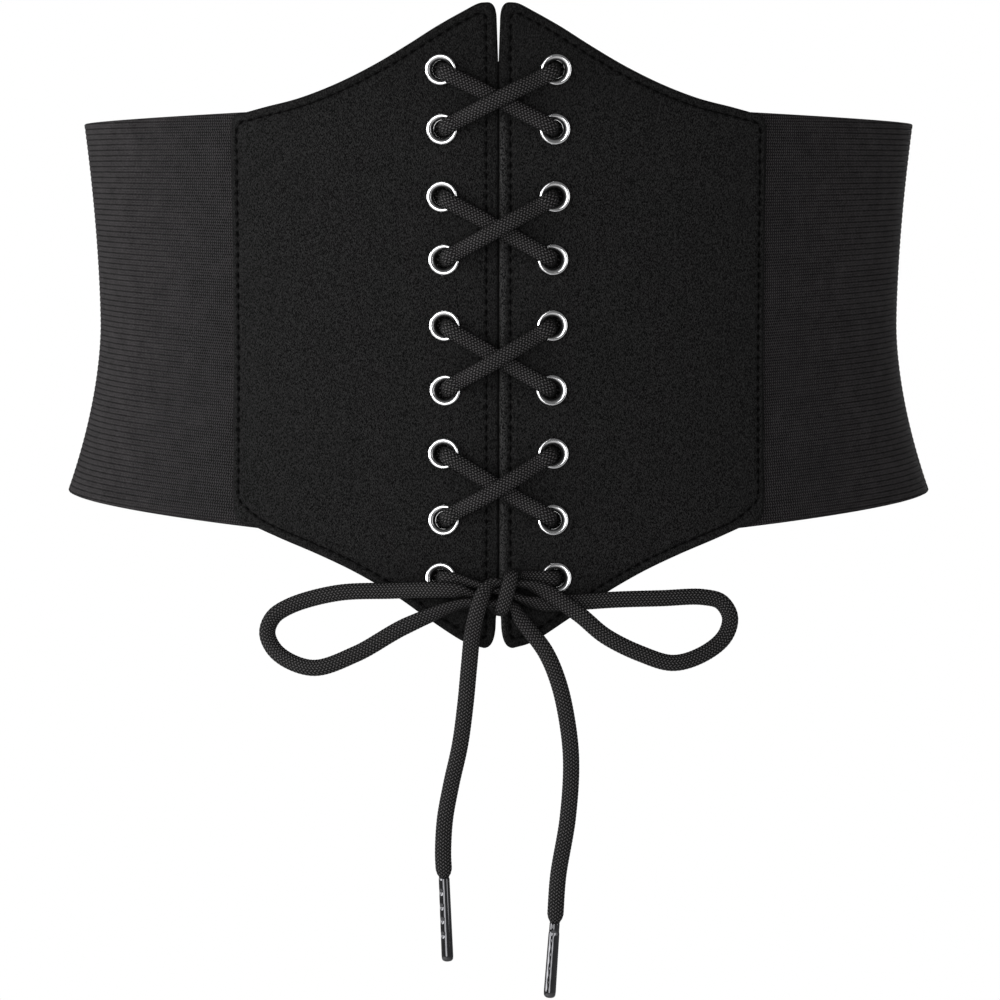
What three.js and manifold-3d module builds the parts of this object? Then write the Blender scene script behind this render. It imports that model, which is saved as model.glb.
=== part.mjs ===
// A laced corset belt in the hourglass form in which it is worn.
// Millimetres. X is the wearer's left as seen from the front, the front faces -Y and +Z is up.
// The origin is the middle of the waist at its narrowest level.
import * as THREE from "three";
import { mergeVertices } from "three/addons/utils/BufferGeometryUtils.js";
import Module from "manifold-3d";

const wasm = await Module();
wasm.setup();

// Gap between pieces that lie on each other
const clearance = 0.3;
// The same where a curved panel laps a curved band
const lapClearance = 0.45;
// The same where the lace bends over a rolled edge
const bendClearance = 0.45;

// The waist: an oval that widens above and below its narrowest level
const waistHalfWidth = 135.5;
const waistHalfDepth = 95;
const topFlare = 4.7;
const topFlareHeight = 67;
const bottomFlare = 12;
const bottomFlareHeight = 58;
const flarePower = 1.75;
const frontFlareShare = 0.3;

// Elastic bands
const elasticThickness = 1.2;
const elasticTopAtSeam = 69.8;
const elasticTopAtSide = 67.5;
const elasticBottomAtSeam = -61.8;
const elasticBottomAtSide = -57.3;
const seamLap = 12;
const elasticEndGap = 2;

// Back closure strip
const closureWidth = 36;
const closureThickness = 1.8;

// Front panels
const panelThickness = 2;
const panelWidth = 85.2;
const panelGap = 0.4;
const tipTop = 103.6;
const tipBottom = -98.4;
const topTipCorner = { across: 3.4, up: 6, lean: 0.5, leanUp: 14 };
const bottomTipCorner = { across: 4.6, up: 9, lean: 0.8, leanUp: 7 };
const topBorderCorner = 4.5;
const bottomBorderCorner = 7;

// Panel edges: across is a share of the panel's width, rise a share of the tip's height above the border
const topEdge = [
  { across: 0.13, rise: 0.917 },
  { across: 0.23, rise: 0.777 },
  { across: 0.33, rise: 0.62 },
  { across: 0.46, rise: 0.43 },
  { across: 0.6, rise: 0.26 },
  { across: 0.74, rise: 0.13 },
  { across: 0.87, rise: 0.05 },
];
const bottomEdge = [
  { across: 0.12, rise: 0.955 },
  { across: 0.25, rise: 0.77 },
  { across: 0.38, rise: 0.565 },
  { across: 0.53, rise: 0.37 },
  { across: 0.67, rise: 0.225 },
  { across: 0.81, rise: 0.1 },
];

// Eyelets: down is a share of the laced height, apart a share of the columns' distance from the middle
const firstEyelet = 82.8;
const lacedHeight = 159.3;
const eyeletFromMiddle = 17.5;
const eyeletRows = [
  { down: 0, apart: 1.03 },
  { down: 0.116, apart: 1.01 },
  { down: 0.248, apart: 1.01 },
  { down: 0.372, apart: 0.98 },
  { down: 0.502, apart: 0.97 },
  { down: 0.63, apart: 0.96 },
  { down: 0.755, apart: 0.99 },
  { down: 0.886, apart: 0.985 },
  { down: 1, apart: 1.04 },
];
const eyeletRadius = 5;
const eyeletHoleRadius = 2.9;
const eyeletWall = 0.4;
const eyeletCrown = 1.1;
const eyeletBackRadius = 4.2;
const eyeletBackCurl = 0.6;

// Lace: a flat-oval braid
const laceWidth = 5.2;
const laceThickness = 3;
const laceWidthInHole = 4.8;
const laceBendRadius = 3.3;
const laceRest = 0.5;
// Where a strand lies flat between two eyelets, as shares of the way
const overRests = [0.36, 0.64];
const underRests = [0.3, 0.5, 0.7];
const middleRest = [0.5];

// Metal tips
const agletRadiusTop = 1.7;
const agletRadiusTip = 1.9;
const agletRound = 0.7;
const agletLengthLeft = 26.2;
const agletLengthRight = 23;

// Facets
const panelColumns = 8;
const panelLevels = 12;
const cornerFacets = 2;
const elasticColumns = 24;
const elasticLevels = 6;
const closureColumns = 4;
const eyeletSides = 10;
const laceSides = 8;
const agletSides = 12;

// How far cutting shapes run past what they cut, and the step over which a face's lean is taken
const cutMargin = 3;
const leanStep = 0.5;

// How far the panel's outer face stands out from the elastic's outer face
const panelFace = lapClearance + panelThickness;

// Routes of the free cords, from the hole in the bottom row to the metal tip: a point,
// the direction in which the cord's wide side faces there, and the share of its full width
const leftRoute = [
  { at: [-18.2, -103.0, -76.5], wide: [0, 0, 1], full: 0.9 },
  { at: [-18.1, -103.9, -76.5], wide: [0, 0, 1], full: 0.9 },
  { at: [-17.2, -105.2, -76.6], wide: [0.2, 0, 1], full: 0.9 },
  { at: [-14.9, -105.9, -76.8], wide: [0.2, 0, 1], full: 1 },
  { at: [-11.8, -106.0, -77.4], wide: [0.1, -0.4, 1], full: 0.95 },
  { at: [-8.6, -106.3, -77.9], wide: [0, -1, 0.7], full: 0.87 },
  { at: [-4.8, -107.2, -78.6], wide: [0, -1, 0.1], full: 0.85 },
  { at: [-1.1, -108.8, -79.5], wide: [0, -1, 0], full: 0.85 },
  { at: [2.7, -109.2, -80.2], wide: [0, -1, 0], full: 0.85 },
  { at: [5.8, -109.0, -81.6], wide: [0, -1, 0], full: 0.85 },
  { at: [9.3, -108.1, -83.1], wide: [0, -1, 0.7], full: 0.9 },
  { at: [14.6, -106.6, -84.1], wide: [0, -0.2, 1], full: 1 },
  { at: [23.5, -105.3, -83.9], wide: [0, 0, 1], full: 1 },
  { at: [36.5, -104.1, -83.2], wide: [0, 0, 1], full: 1 },
  { at: [51.5, -101.9, -83.0], wide: [0, 0, 1], full: 1 },
  { at: [64.8, -98.9, -83.0], wide: [0.15, 0, 1], full: 1 },
  { at: [70.6, -97.9, -84.7], wide: [0.7, 0, 0.7], full: 1 },
  { at: [73.4, -98.4, -89.4], wide: [1, 0, 0.1], full: 1 },
  { at: [71.7, -100.5, -95.2], wide: [0.8, 0, -0.5], full: 1 },
  { at: [64.6, -104.0, -100.5], wide: [0.4, 0, -1], full: 1 },
  { at: [55.0, -106.9, -102.9], wide: [0, 0, -1], full: 1 },
  { at: [44.8, -108.4, -99.8], wide: [-0.35, 0, -1], full: 1 },
  { at: [33.5, -109.3, -94.0], wide: [-0.5, 0, -1], full: 1 },
  { at: [25.6, -109.2, -87.4], wide: [-0.6, 0, -1], full: 1 },
  { at: [16.5, -108.8, -81.1], wide: [-0.5, 0, -1], full: 1 },
  { at: [12.4, -108.8, -78.9], wide: [-0.3, 0.6, -1], full: 0.92 },
  { at: [8.0, -108.9, -77.6], wide: [0, 1, -0.3], full: 0.85 },
  { at: [3.6, -108.7, -77.3], wide: [0, 1, 0], full: 0.85 },
  { at: [0.5, -109.8, -77.1], wide: [0, 1, -0.3], full: 0.87 },
  { at: [-2.2, -110.9, -77.7], wide: [0.4, 0.6, -0.7], full: 0.9 },
  { at: [-4.5, -112.6, -79.9], wide: [0.8, 0.1, -0.6], full: 0.95 },
  { at: [-6.1, -113.2, -83.9], wide: [1, 0, -0.3], full: 1 },
  { at: [-8.0, -112.2, -91.9], wide: [1, 0, -0.2], full: 1 },
  { at: [-9.2, -111.0, -103.3], wide: [1, 0, -0.1], full: 1 },
  { at: [-10.4, -110.1, -115.9], wide: [1, 0, -0.1], full: 1 },
  { at: [-12.1, -109.5, -128.6], wide: [1, 0, -0.2], full: 1 },
  { at: [-14.9, -109.0, -141.4], wide: [1, 0, -0.2], full: 1 },
  { at: [-16.9, -108.5, -152.7], wide: [1, 0, -0.1], full: 1 },
  { at: [-17.5, -108.0, -163.4], wide: [1, 0, 0], full: 1 },
  { at: [-17.2, -108.0, -170.8], wide: [1, 0, 0], full: 0.7 },
];
const rightRoute = [
  { at: [18.2, -103.0, -76.5], wide: [0, 0, 1], full: 0.9 },
  { at: [18.1, -103.9, -76.5], wide: [0, 0, 1], full: 0.9 },
  { at: [17.2, -105.2, -76.4], wide: [0, 0, 1], full: 0.9 },
  { at: [14.7, -105.9, -76.3], wide: [0, 0, 1], full: 1 },
  { at: [8.1, -105.0, -76.1], wide: [0.2, 0, 1], full: 0.9 },
  { at: [5.8, -105.9, -75.2], wide: [0.8, 0.2, 0.7], full: 0.85 },
  { at: [4.6, -108.4, -74.0], wide: [1, 0, 0.2], full: 0.85 },
  { at: [4.1, -111.6, -74.4], wide: [1, 0, 0.1], full: 0.87 },
  { at: [3.5, -113.4, -76.9], wide: [1, 0, -0.2], full: 0.9 },
  { at: [2.3, -113.7, -81.2], wide: [1, 0, -0.25], full: 0.9 },
  { at: [1.1, -112.5, -85.3], wide: [1, 0, -0.2], full: 0.87 },
  { at: [0.6, -110.0, -86.3], wide: [1, 0, 0], full: 0.85 },
  { at: [0.0, -107.5, -85.8], wide: [0.9, 0.2, 0.4], full: 0.85 },
  { at: [-1.6, -106.0, -84.3], wide: [0.5, 0, 0.9], full: 0.85 },
  { at: [-4.3, -106.3, -82.3], wide: [0.3, -0.7, 0.7], full: 0.85 },
  { at: [-7.3, -107.3, -81.3], wide: [0, -1, 0.2], full: 0.85 },
  { at: [-10.2, -108.4, -80.5], wide: [0, -0.8, 0.6], full: 0.87 },
  { at: [-13.6, -109.3, -79.7], wide: [0, -0.2, 1], full: 0.95 },
  { at: [-20.0, -108.7, -79.5], wide: [0, 0, 1], full: 1 },
  { at: [-34.0, -104.4, -80.3], wide: [0, 0, 1], full: 1 },
  { at: [-51.0, -101.6, -81.4], wide: [-0.1, 0, 1], full: 1 },
  { at: [-66.0, -99.3, -85.8], wide: [-0.6, 0, 0.8], full: 1 },
  { at: [-71.5, -99.0, -89.6], wide: [-0.9, 0, 0.4], full: 1 },
  { at: [-73.2, -99.6, -94.6], wide: [-1, 0, -0.1], full: 1 },
  { at: [-69.6, -102.2, -100.6], wide: [-0.7, 0, -0.7], full: 1 },
  { at: [-58.5, -106.0, -104.6], wide: [0, 0, -1], full: 1 },
  { at: [-44.8, -108.0, -99.9], wide: [0.5, 0, -0.9], full: 1 },
  { at: [-29.0, -108.8, -90.9], wide: [0.5, 0, -0.9], full: 1 },
  { at: [-10.5, -108.6, -83.9], wide: [0.1, 0.8, -0.6], full: 0.9 },
  { at: [-1.5, -109.3, -83.7], wide: [0, 1, 0], full: 0.85 },
  { at: [2.2, -109.6, -83.2], wide: [0, 1, 0], full: 0.85 },
  { at: [5.0, -109.7, -85.0], wide: [0.4, 0.8, 0.3], full: 0.85 },
  { at: [7.0, -109.7, -88.6], wide: [0.8, 0.4, 0.5], full: 0.95 },
  { at: [14.6, -109.6, -98.7], wide: [0.9, 0, 0.5], full: 1 },
  { at: [18.6, -109.5, -107.9], wide: [0.95, 0, 0.3], full: 1 },
  { at: [21.3, -109.5, -119.1], wide: [1, 0, 0.2], full: 1 },
  { at: [22.9, -109.0, -133.5], wide: [1, 0, 0], full: 1 },
  { at: [21.9, -108.5, -152.0], wide: [1, 0, -0.1], full: 1 },
  { at: [18.9, -108.0, -170.8], wide: [1, 0, -0.15], full: 1 },
  { at: [17.9, -108.0, -185.3], wide: [1, 0, 0], full: 0.7 },
];

// Materials
function material(color, roughness, metalness) {
  return new THREE.MeshStandardMaterial({ color, roughness, metalness });
}
const suede = material(0x1b1b1c, 0.9, 0);
const webbing = material(0x29272a, 0.85, 0);
const steel = material(0xd5d6d9, 0.22, 1);
const braid = material(0x1d1c1e, 0.8, 0);
const gunmetal = material(0x3a3b3f, 0.2, 1);

// Half width and half depth of the oval at a level, for a face that stands out from the elastic's
function ovalAt(level, out) {
  const flare =
    level > 0
      ? topFlare * (level / topFlareHeight) ** flarePower
      : bottomFlare * (-level / bottomFlareHeight) ** flarePower;
  return {
    width: waistHalfWidth + flare + out,
    depth: waistHalfDepth + frontFlareShare * flare + out,
  };
}

// A point on the oval by its turn from the front, counted towards +X
function wallPoint(turn, level, out) {
  const oval = ovalAt(level, out);
  return new THREE.Vector3(oval.width * Math.sin(turn), -oval.depth * Math.cos(turn), level);
}

// A point on the front of the oval by its distance from the middle
function frontPoint(across, level, out) {
  const oval = ovalAt(level, out);
  return new THREE.Vector3(across, -oval.depth * Math.sqrt(1 - (across / oval.width) ** 2), level);
}

function outwardAt(across, level) {
  const along = frontPoint(across + leanStep, level, 0).sub(frontPoint(across - leanStep, level, 0));
  const up = frontPoint(across, level + leanStep, 0).sub(frontPoint(across, level - leanStep, 0));
  return along.cross(up).normalize();
}

// Conversion between three.js geometry and closed solids
function toSolid(geometry) {
  const bare = new THREE.BufferGeometry();
  bare.setAttribute("position", geometry.getAttribute("position"));
  if (geometry.index) bare.setIndex(geometry.index);
  const merged = mergeVertices(bare, 1e-4);
  return new wasm.Manifold(
    new wasm.Mesh({
      numProp: 3,
      vertProperties: new Float32Array(merged.attributes.position.array),
      triVerts: new Uint32Array(merged.index.array),
    }),
  );
}

function toGeometry(solid) {
  const mesh = solid.getMesh();
  const geometry = new THREE.BufferGeometry();
  geometry.setAttribute("position", new THREE.BufferAttribute(mesh.vertProperties, mesh.numProp));
  geometry.setIndex(new THREE.BufferAttribute(mesh.triVerts, 1));
  return geometry;
}

// The same geometry on the other side of the middle, with its faces still pointing out
function mirrored(geometry) {
  const flipped = geometry.index ? geometry.toNonIndexed() : geometry.clone();
  const position = flipped.getAttribute("position");
  for (let corner = 0; corner < position.count; corner += 3) {
    const points = [0, 1, 2].map((i) => new THREE.Vector3().fromBufferAttribute(position, corner + i));
    [points[0], points[2], points[1]].forEach((point, i) => {
      position.setXYZ(corner + i, -point.x, point.y, point.z);
    });
  }
  return flipped;
}

// A closed wall between two faces: place(across, up, face) gives a point for shares from 0 to 1
function wall(columns, levels, place) {
  const positions = [];
  const point = ([column, level, face]) => place(column / columns, level / levels, face);
  const quad = (...corners) => {
    const [a, b, c, d] = corners.map(point);
    for (const corner of [a, b, c, a, c, d]) positions.push(corner.x, corner.y, corner.z);
  };
  for (let i = 0; i < columns; i++) {
    for (let j = 0; j < levels; j++) {
      quad([i, j, 1], [i + 1, j, 1], [i + 1, j + 1, 1], [i, j + 1, 1]);
      quad([i, j, 0], [i, j + 1, 0], [i + 1, j + 1, 0], [i + 1, j, 0]);
    }
    quad([i, 0, 0], [i + 1, 0, 0], [i + 1, 0, 1], [i, 0, 1]);
    quad([i, levels, 0], [i, levels, 1], [i + 1, levels, 1], [i + 1, levels, 0]);
  }
  for (let j = 0; j < levels; j++) {
    quad([0, j, 0], [0, j, 1], [0, j + 1, 1], [0, j + 1, 0]);
    quad([columns, j, 0], [columns, j + 1, 0], [columns, j + 1, 1], [columns, j, 1]);
  }
  const geometry = new THREE.BufferGeometry();
  geometry.setAttribute("position", new THREE.Float32BufferAttribute(positions, 3));
  return geometry;
}

// Where the eyelet of a row lies on the panel's outer face, and the way it faces
function eyeletSeat(row, side) {
  const across = side * eyeletFromMiddle * eyeletRows[row].apart;
  const level = firstEyelet - lacedHeight * eyeletRows[row].down;
  return { at: frontPoint(across, level, panelFace), outward: outwardAt(across, level) };
}

// Front panel: a curved wall cut to its outline, with a hole for each eyelet
function panelOutline() {
  const middle = panelGap / 2;
  const topRise = tipTop - elasticTopAtSeam;
  const bottomRise = tipBottom - elasticBottomAtSeam;
  const edgePoint = (row, border, rise) => {
    return new THREE.Vector2(row.across * panelWidth, border + row.rise * rise);
  };
  const top = topTipCorner;
  const bottom = bottomTipCorner;
  const outline = new THREE.Shape();
  outline.moveTo(middle, tipBottom + bottom.up + bottom.leanUp);
  outline.lineTo(middle, tipTop - top.up - top.leanUp);
  outline.lineTo(middle + top.lean, tipTop - top.up);
  outline.quadraticCurveTo(middle + top.lean, tipTop, middle + top.across, tipTop);
  outline.splineThru([
    ...topEdge.map((row) => edgePoint(row, elasticTopAtSeam, topRise)),
    new THREE.Vector2(panelWidth - topBorderCorner, elasticTopAtSeam),
  ]);
  outline.quadraticCurveTo(panelWidth, elasticTopAtSeam, panelWidth, elasticTopAtSeam - topBorderCorner);
  outline.lineTo(panelWidth, elasticBottomAtSeam + bottomBorderCorner);
  outline.quadraticCurveTo(
    panelWidth,
    elasticBottomAtSeam,
    panelWidth - bottomBorderCorner,
    elasticBottomAtSeam,
  );
  outline.splineThru([
    ...bottomEdge.map((row) => edgePoint(row, elasticBottomAtSeam, bottomRise)).reverse(),
    new THREE.Vector2(middle + bottom.across, tipBottom),
  ]);
  outline.quadraticCurveTo(
    middle + bottom.lean,
    tipBottom,
    middle + bottom.lean,
    tipBottom + bottom.up,
  );
  return outline;
}

function panelGeometry() {
  const low = tipBottom - cutMargin;
  const high = tipTop + cutMargin;
  const width = panelWidth + 2 * cutMargin;
  const shell = wall(panelColumns, panelLevels, (across, up, face) => {
    const out = lapClearance + face * panelThickness;
    return frontPoint(across * width - cutMargin, low + up * (high - low), out);
  });
  const reach = ovalAt(tipBottom, panelFace).depth + cutMargin;
  const prism = new THREE.ExtrudeGeometry(panelOutline(), {
    depth: reach,
    bevelEnabled: false,
    curveSegments: cornerFacets,
  });
  prism.rotateX(Math.PI / 2);
  let solid = toSolid(shell).intersect(toSolid(prism));
  const holeRadius = (eyeletHoleRadius + eyeletWall + clearance) / Math.cos(Math.PI / eyeletSides);
  const drillLength = panelThickness + 2 * cutMargin;
  for (let row = 0; row < eyeletRows.length; row++) {
    const seat = eyeletSeat(row, 1);
    const drill = new THREE.CylinderGeometry(holeRadius, holeRadius, drillLength, eyeletSides);
    drill.applyQuaternion(turnTo(seat.outward));
    drill.translate(seat.at.x, seat.at.y, seat.at.z);
    solid = solid.subtract(toSolid(drill));
  }
  return toGeometry(solid);
}

// Elastic band: from its lap behind the panel round to the back
function elasticEdge(atSeam, atSide, turn, level) {
  if (turn > Math.PI / 2) return atSide;
  const width = ovalAt(level, 0).width;
  const share = (width * Math.sin(turn) - panelWidth) / (width - panelWidth);
  return atSeam + share * (atSide - atSeam);
}

function elasticGeometry() {
  return wall(elasticColumns, elasticLevels, (along, up, face) => {
    const rough = elasticBottomAtSeam + up * (elasticTopAtSeam - elasticBottomAtSeam);
    const width = ovalAt(rough, 0).width;
    const start = Math.asin((panelWidth - seamLap) / width);
    const end = Math.PI - Math.asin(elasticEndGap / 2 / width);
    const turn = start + along * (end - start);
    const low = elasticEdge(elasticBottomAtSeam, elasticBottomAtSide, turn, rough);
    const high = elasticEdge(elasticTopAtSeam, elasticTopAtSide, turn, rough);
    return wallPoint(turn, low + up * (high - low), (face - 1) * elasticThickness);
  });
}

// Back closure: a plain strip over the two ends of the elastic
function closureGeometry() {
  return wall(closureColumns, elasticLevels, (across, up, face) => {
    const level = elasticBottomAtSide + up * (elasticTopAtSide - elasticBottomAtSide);
    const half = Math.asin(closureWidth / 2 / ovalAt(level, 0).width);
    const turn = Math.PI + (2 * across - 1) * half;
    return wallPoint(turn, level, lapClearance + face * closureThickness);
  });
}

// Eyelet: a rolled flange in front, a barrel through the panel and a curl behind it, turned about Y
function eyeletGeometry() {
  const barrel = eyeletHoleRadius + eyeletWall;
  const back = -panelThickness - lapClearance;
  const profile = [
    [eyeletHoleRadius, back - eyeletBackCurl],
    [eyeletBackRadius, back - eyeletBackCurl],
    [eyeletBackRadius, back],
    [barrel, back],
    [barrel, lapClearance],
    [eyeletRadius, lapClearance],
    [(eyeletHoleRadius + eyeletRadius) / 2, eyeletCrown],
    [eyeletHoleRadius, lapClearance],
    [eyeletHoleRadius, back - eyeletBackCurl],
  ].map(([radius, height]) => new THREE.Vector2(radius, height));
  return new THREE.LatheGeometry(profile, eyeletSides);
}

// A cord's path through its stations, each a point with the direction of the cord's wide side
class CordPath extends THREE.Curve {
  constructor(stations) {
    super();
    this.stations = stations;
  }

  getPoint(share) {
    const place = share * (this.stations.length - 1);
    const index = Math.min(Math.floor(place), this.stations.length - 2);
    const here = this.stations[index].at;
    return here.clone().lerp(this.stations[index + 1].at, place - index);
  }

  getSpacedPoints() {
    return this.stations.map((station) => station.at.clone());
  }

  computeFrenetFrames() {
    const last = this.stations.length - 1;
    const frames = { tangents: [], normals: [], binormals: [] };
    this.stations.forEach((station, index) => {
      const before = this.stations[Math.max(index - 1, 0)].at;
      const after = this.stations[Math.min(index + 1, last)].at;
      const into = station.at.clone().sub(before).normalize();
      const onward = after.clone().sub(station.at).normalize();
      const tangent = into.add(onward).normalize();
      const wide = station.wide.clone().addScaledVector(tangent, -station.wide.dot(tangent)).normalize();
      frames.tangents.push(tangent);
      frames.normals.push(wide.clone().multiplyScalar(station.full));
      frames.binormals.push(tangent.clone().cross(wide).multiplyScalar(Math.sqrt(station.full)));
    });
    return frames;
  }
}

function cordGeometry(stations) {
  const section = new THREE.Shape();
  for (let side = 0; side < laceSides; side++) {
    const angle = (2 * Math.PI * (side + 0.5)) / laceSides;
    const point = [(laceWidth / 2) * Math.cos(angle), (laceThickness / 2) * Math.sin(angle)];
    if (side === 0) section.moveTo(...point);
    else section.lineTo(...point);
  }
  section.closePath();
  return new THREE.ExtrudeGeometry(section, {
    steps: stations.length - 1,
    extrudePath: new CordPath(stations),
  });
}

// Lace: its strands cross in front between rows 1 and 2, 3 and 4, 5 and 6, 7 and 8, and behind
// between the others, and one strand runs straight across behind the first row
function laceStations() {
  const flangeTop = eyeletCrown + bendClearance + laceThickness / 2;
  const curlBack = panelThickness + lapClearance + eyeletBackCurl;
  const flangeBack = -curlBack - bendClearance - laceThickness / 2;
  const bend = laceBendRadius;
  const flangeEdge = eyeletRadius + laceRest;
  const lying = lapClearance + laceThickness / 2;
  const over = lying + laceThickness + clearance;
  const holeShare = laceWidthInHole / laceWidth;

  // A station at a distance from an eyelet's middle towards the eyelet that the strand leads to
  const station = (seat, toward, away, height, full = 1) => {
    const out = Math.sign(height) || 1;
    return {
      at: seat.at.clone().addScaledVector(toward, away).addScaledVector(seat.outward, height),
      wide: toward.clone().cross(seat.outward).multiplyScalar(out),
      full,
    };
  };
  // The strand from an eyelet's hole out over its flange, in front or behind
  const leaving = (seat, toward, front) => {
    const top = front ? flangeTop : flangeBack;
    const turned = top - (front ? bend : -bend) * (1 - Math.SQRT1_2);
    const aside = bend * (1 - Math.SQRT1_2);
    return [
      station(seat, toward, aside, turned, holeShare),
      station(seat, toward, bend, top),
      station(seat, toward, flangeEdge, top),
    ];
  };
  // The middle of a strand between two eyelets, at its height over the panel's outer face
  const between = (from, to, toward, height, shares) =>
    shares.map((share) => {
      const middle = from.at.clone().lerp(to.at, share);
      return {
        at: frontPoint(middle.x, middle.z, panelFace + height),
        wide: toward.clone().cross(from.outward).multiplyScalar(Math.sign(height)),
        full: 1,
      };
    });
  const inHole = (seat, wide) => ({
    at: seat.at.clone().addScaledVector(seat.outward, -panelThickness / 2),
    wide: wide.clone(),
    full: holeShare,
  });
  const strand = (from, to, front, height, shares) => {
    const toward = to.at.clone().sub(from.at).normalize();
    return [
      ...leaving(from, toward, front),
      ...between(from, to, toward, height, shares),
      ...leaving(to, toward.clone().negate(), front).reverse(),
    ];
  };

  const behind = -panelThickness - lying;
  const farBehind = -panelThickness - over;
  // One half of the lace, from the first row down to the bottom row, starting on the given side
  const half = (start) => {
    const stations = [];
    for (let row = 0; row < eyeletRows.length - 1; row++) {
      const side = row % 2 === 0 ? start : -start;
      const from = eyeletSeat(row, side);
      const to = eyeletSeat(row + 1, -side);
      const front = row % 2 === 0;
      const upper = start > 0;
      if (row > 0) stations.push(inHole(from, new THREE.Vector3(0, 0, side)));
      if (front && upper) stations.push(...strand(from, to, true, over, overRests));
      if (front && !upper) stations.push(...strand(from, to, true, lying, underRests));
      if (!front && upper) stations.push(...strand(from, to, false, farBehind, overRests));
      if (!front && !upper) stations.push(...strand(from, to, false, behind, middleRest));
    }
    const last = eyeletSeat(eyeletRows.length - 1, start);
    stations.push(inHole(last, new THREE.Vector3(0, 0, 1)));
    stations.push({
      at: last.at.clone().addScaledVector(last.outward, -clearance),
      wide: new THREE.Vector3(0, 0, 1),
      full: holeShare,
    });
    return stations;
  };
  const left = eyeletSeat(0, -1);
  const right = eyeletSeat(0, 1);
  const upright = new THREE.Vector3(0, 0, 1);
  return [
    ...half(-1).reverse(),
    inHole(left, upright),
    ...strand(left, right, false, behind, middleRest),
    inHole(right, upright),
    ...half(1),
  ];
}

// Neighbouring stations keep their wide sides on the same hand, so that the cord doesn't twist over
function untwisted(stations) {
  const result = stations.map((station) => ({ ...station, wide: station.wide.clone() }));
  for (let i = 1; i < result.length; i++) {
    if (result[i].wide.dot(result[i - 1].wide) < 0) result[i].wide.negate();
  }
  return result;
}

function freeStations(route) {
  return route.map((row) => ({
    at: new THREE.Vector3(...row.at),
    wide: new THREE.Vector3(...row.wide),
    full: row.full,
  }));
}

// Metal tip: a closed tube with a rounded end, turned about Y with its tip down
function agletGeometry(length) {
  const profile = [
    [0, 0],
    [agletRadiusTop, 0],
    [agletRadiusTip, -length + agletRound],
    [agletRadiusTip - agletRound, -length],
    [0, -length],
  ].map(([radius, height]) => new THREE.Vector2(radius, height));
  return new THREE.LatheGeometry(profile.reverse(), agletSides);
}

function turnTo(direction) {
  return new THREE.Quaternion().setFromUnitVectors(new THREE.Vector3(0, 1, 0), direction);
}

// Assembly
const belt = new THREE.Group();
belt.name = "corset_belt";

function add(parent, name, geometry, finish) {
  const mesh = new THREE.Mesh(geometry, finish.clone());
  mesh.name = name;
  parent.add(mesh);
  return mesh;
}

const panel = panelGeometry();
add(belt, "panel_right", panel, suede);
add(belt, "panel_left", mirrored(panel), suede);

const elastic = elasticGeometry();
add(belt, "elastic_right", elastic, webbing);
add(belt, "elastic_left", mirrored(elastic), webbing);
add(belt, "back_closure", closureGeometry(), suede);

const eyelet = eyeletGeometry();
for (const [label, side] of [["left", -1], ["right", 1]]) {
  const column = new THREE.Group();
  belt.add(column);
  for (let row = 0; row < eyeletRows.length; row++) {
    const seat = eyeletSeat(row, side);
    const mesh = add(column, `eyelet_${label}_${row + 1}`, eyelet, steel);
    mesh.position.copy(seat.at);
    mesh.quaternion.copy(turnTo(seat.outward));
  }
}

add(belt, "lace", cordGeometry(untwisted(laceStations())), braid);

for (const [label, route, length] of [
  ["left", leftRoute, agletLengthLeft],
  ["right", rightRoute, agletLengthRight],
]) {
  const stations = untwisted(freeStations(route));
  add(belt, `cord_${label}`, cordGeometry(stations), braid);
  const end = stations.at(-1).at;
  const downward = end.clone().sub(stations.at(-2).at).normalize();
  const aglet = add(belt, `aglet_${label}`, agletGeometry(length), gunmetal);
  aglet.position.copy(end).addScaledVector(downward, clearance);
  aglet.quaternion.copy(turnTo(downward.negate()));
}

export default belt;
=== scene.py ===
"""Looks of a laced corset belt: suede panels, ribbed elastic, rolled eyelets and a braided lace.

Metres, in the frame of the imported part: +X is to the right as the front is seen, -Y points out of
the front and +Z up. The origin is the middle of the waist at its narrowest level.
"""

import math

import bmesh
import bpy
import numpy as np
from mathutils.geometry import delaunay_2d_cdt
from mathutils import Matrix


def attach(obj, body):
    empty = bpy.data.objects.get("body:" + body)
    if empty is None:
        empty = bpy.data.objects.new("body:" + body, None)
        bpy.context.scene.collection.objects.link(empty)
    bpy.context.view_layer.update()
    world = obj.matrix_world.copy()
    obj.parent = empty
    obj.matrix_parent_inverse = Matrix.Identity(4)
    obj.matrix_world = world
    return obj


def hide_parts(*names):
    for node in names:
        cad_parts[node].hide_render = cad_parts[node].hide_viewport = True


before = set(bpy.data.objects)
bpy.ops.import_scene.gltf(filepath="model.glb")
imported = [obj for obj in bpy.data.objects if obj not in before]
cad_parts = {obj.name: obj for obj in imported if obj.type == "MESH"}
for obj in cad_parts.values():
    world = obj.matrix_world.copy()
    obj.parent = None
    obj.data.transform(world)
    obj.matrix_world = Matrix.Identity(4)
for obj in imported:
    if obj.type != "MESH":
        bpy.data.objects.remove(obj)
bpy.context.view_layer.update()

scene = bpy.context.scene
MM = 0.001

# Camera

CAMERA_PLACE = (0.0005, -1.15, 0.0466)
CAMERA_PITCH = math.radians(5.366)
CAMERA_LENS = 120.35

camera = bpy.data.objects.new("camera", bpy.data.cameras.new("camera"))
camera.data.sensor_width = 36
camera.data.sensor_fit = "HORIZONTAL"
camera.data.lens = CAMERA_LENS
camera.location = CAMERA_PLACE
camera.rotation_euler = (math.pi / 2 - CAMERA_PITCH, 0, 0)
scene.collection.objects.link(camera)
scene.camera = camera

# Sizes, as in the solids

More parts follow.
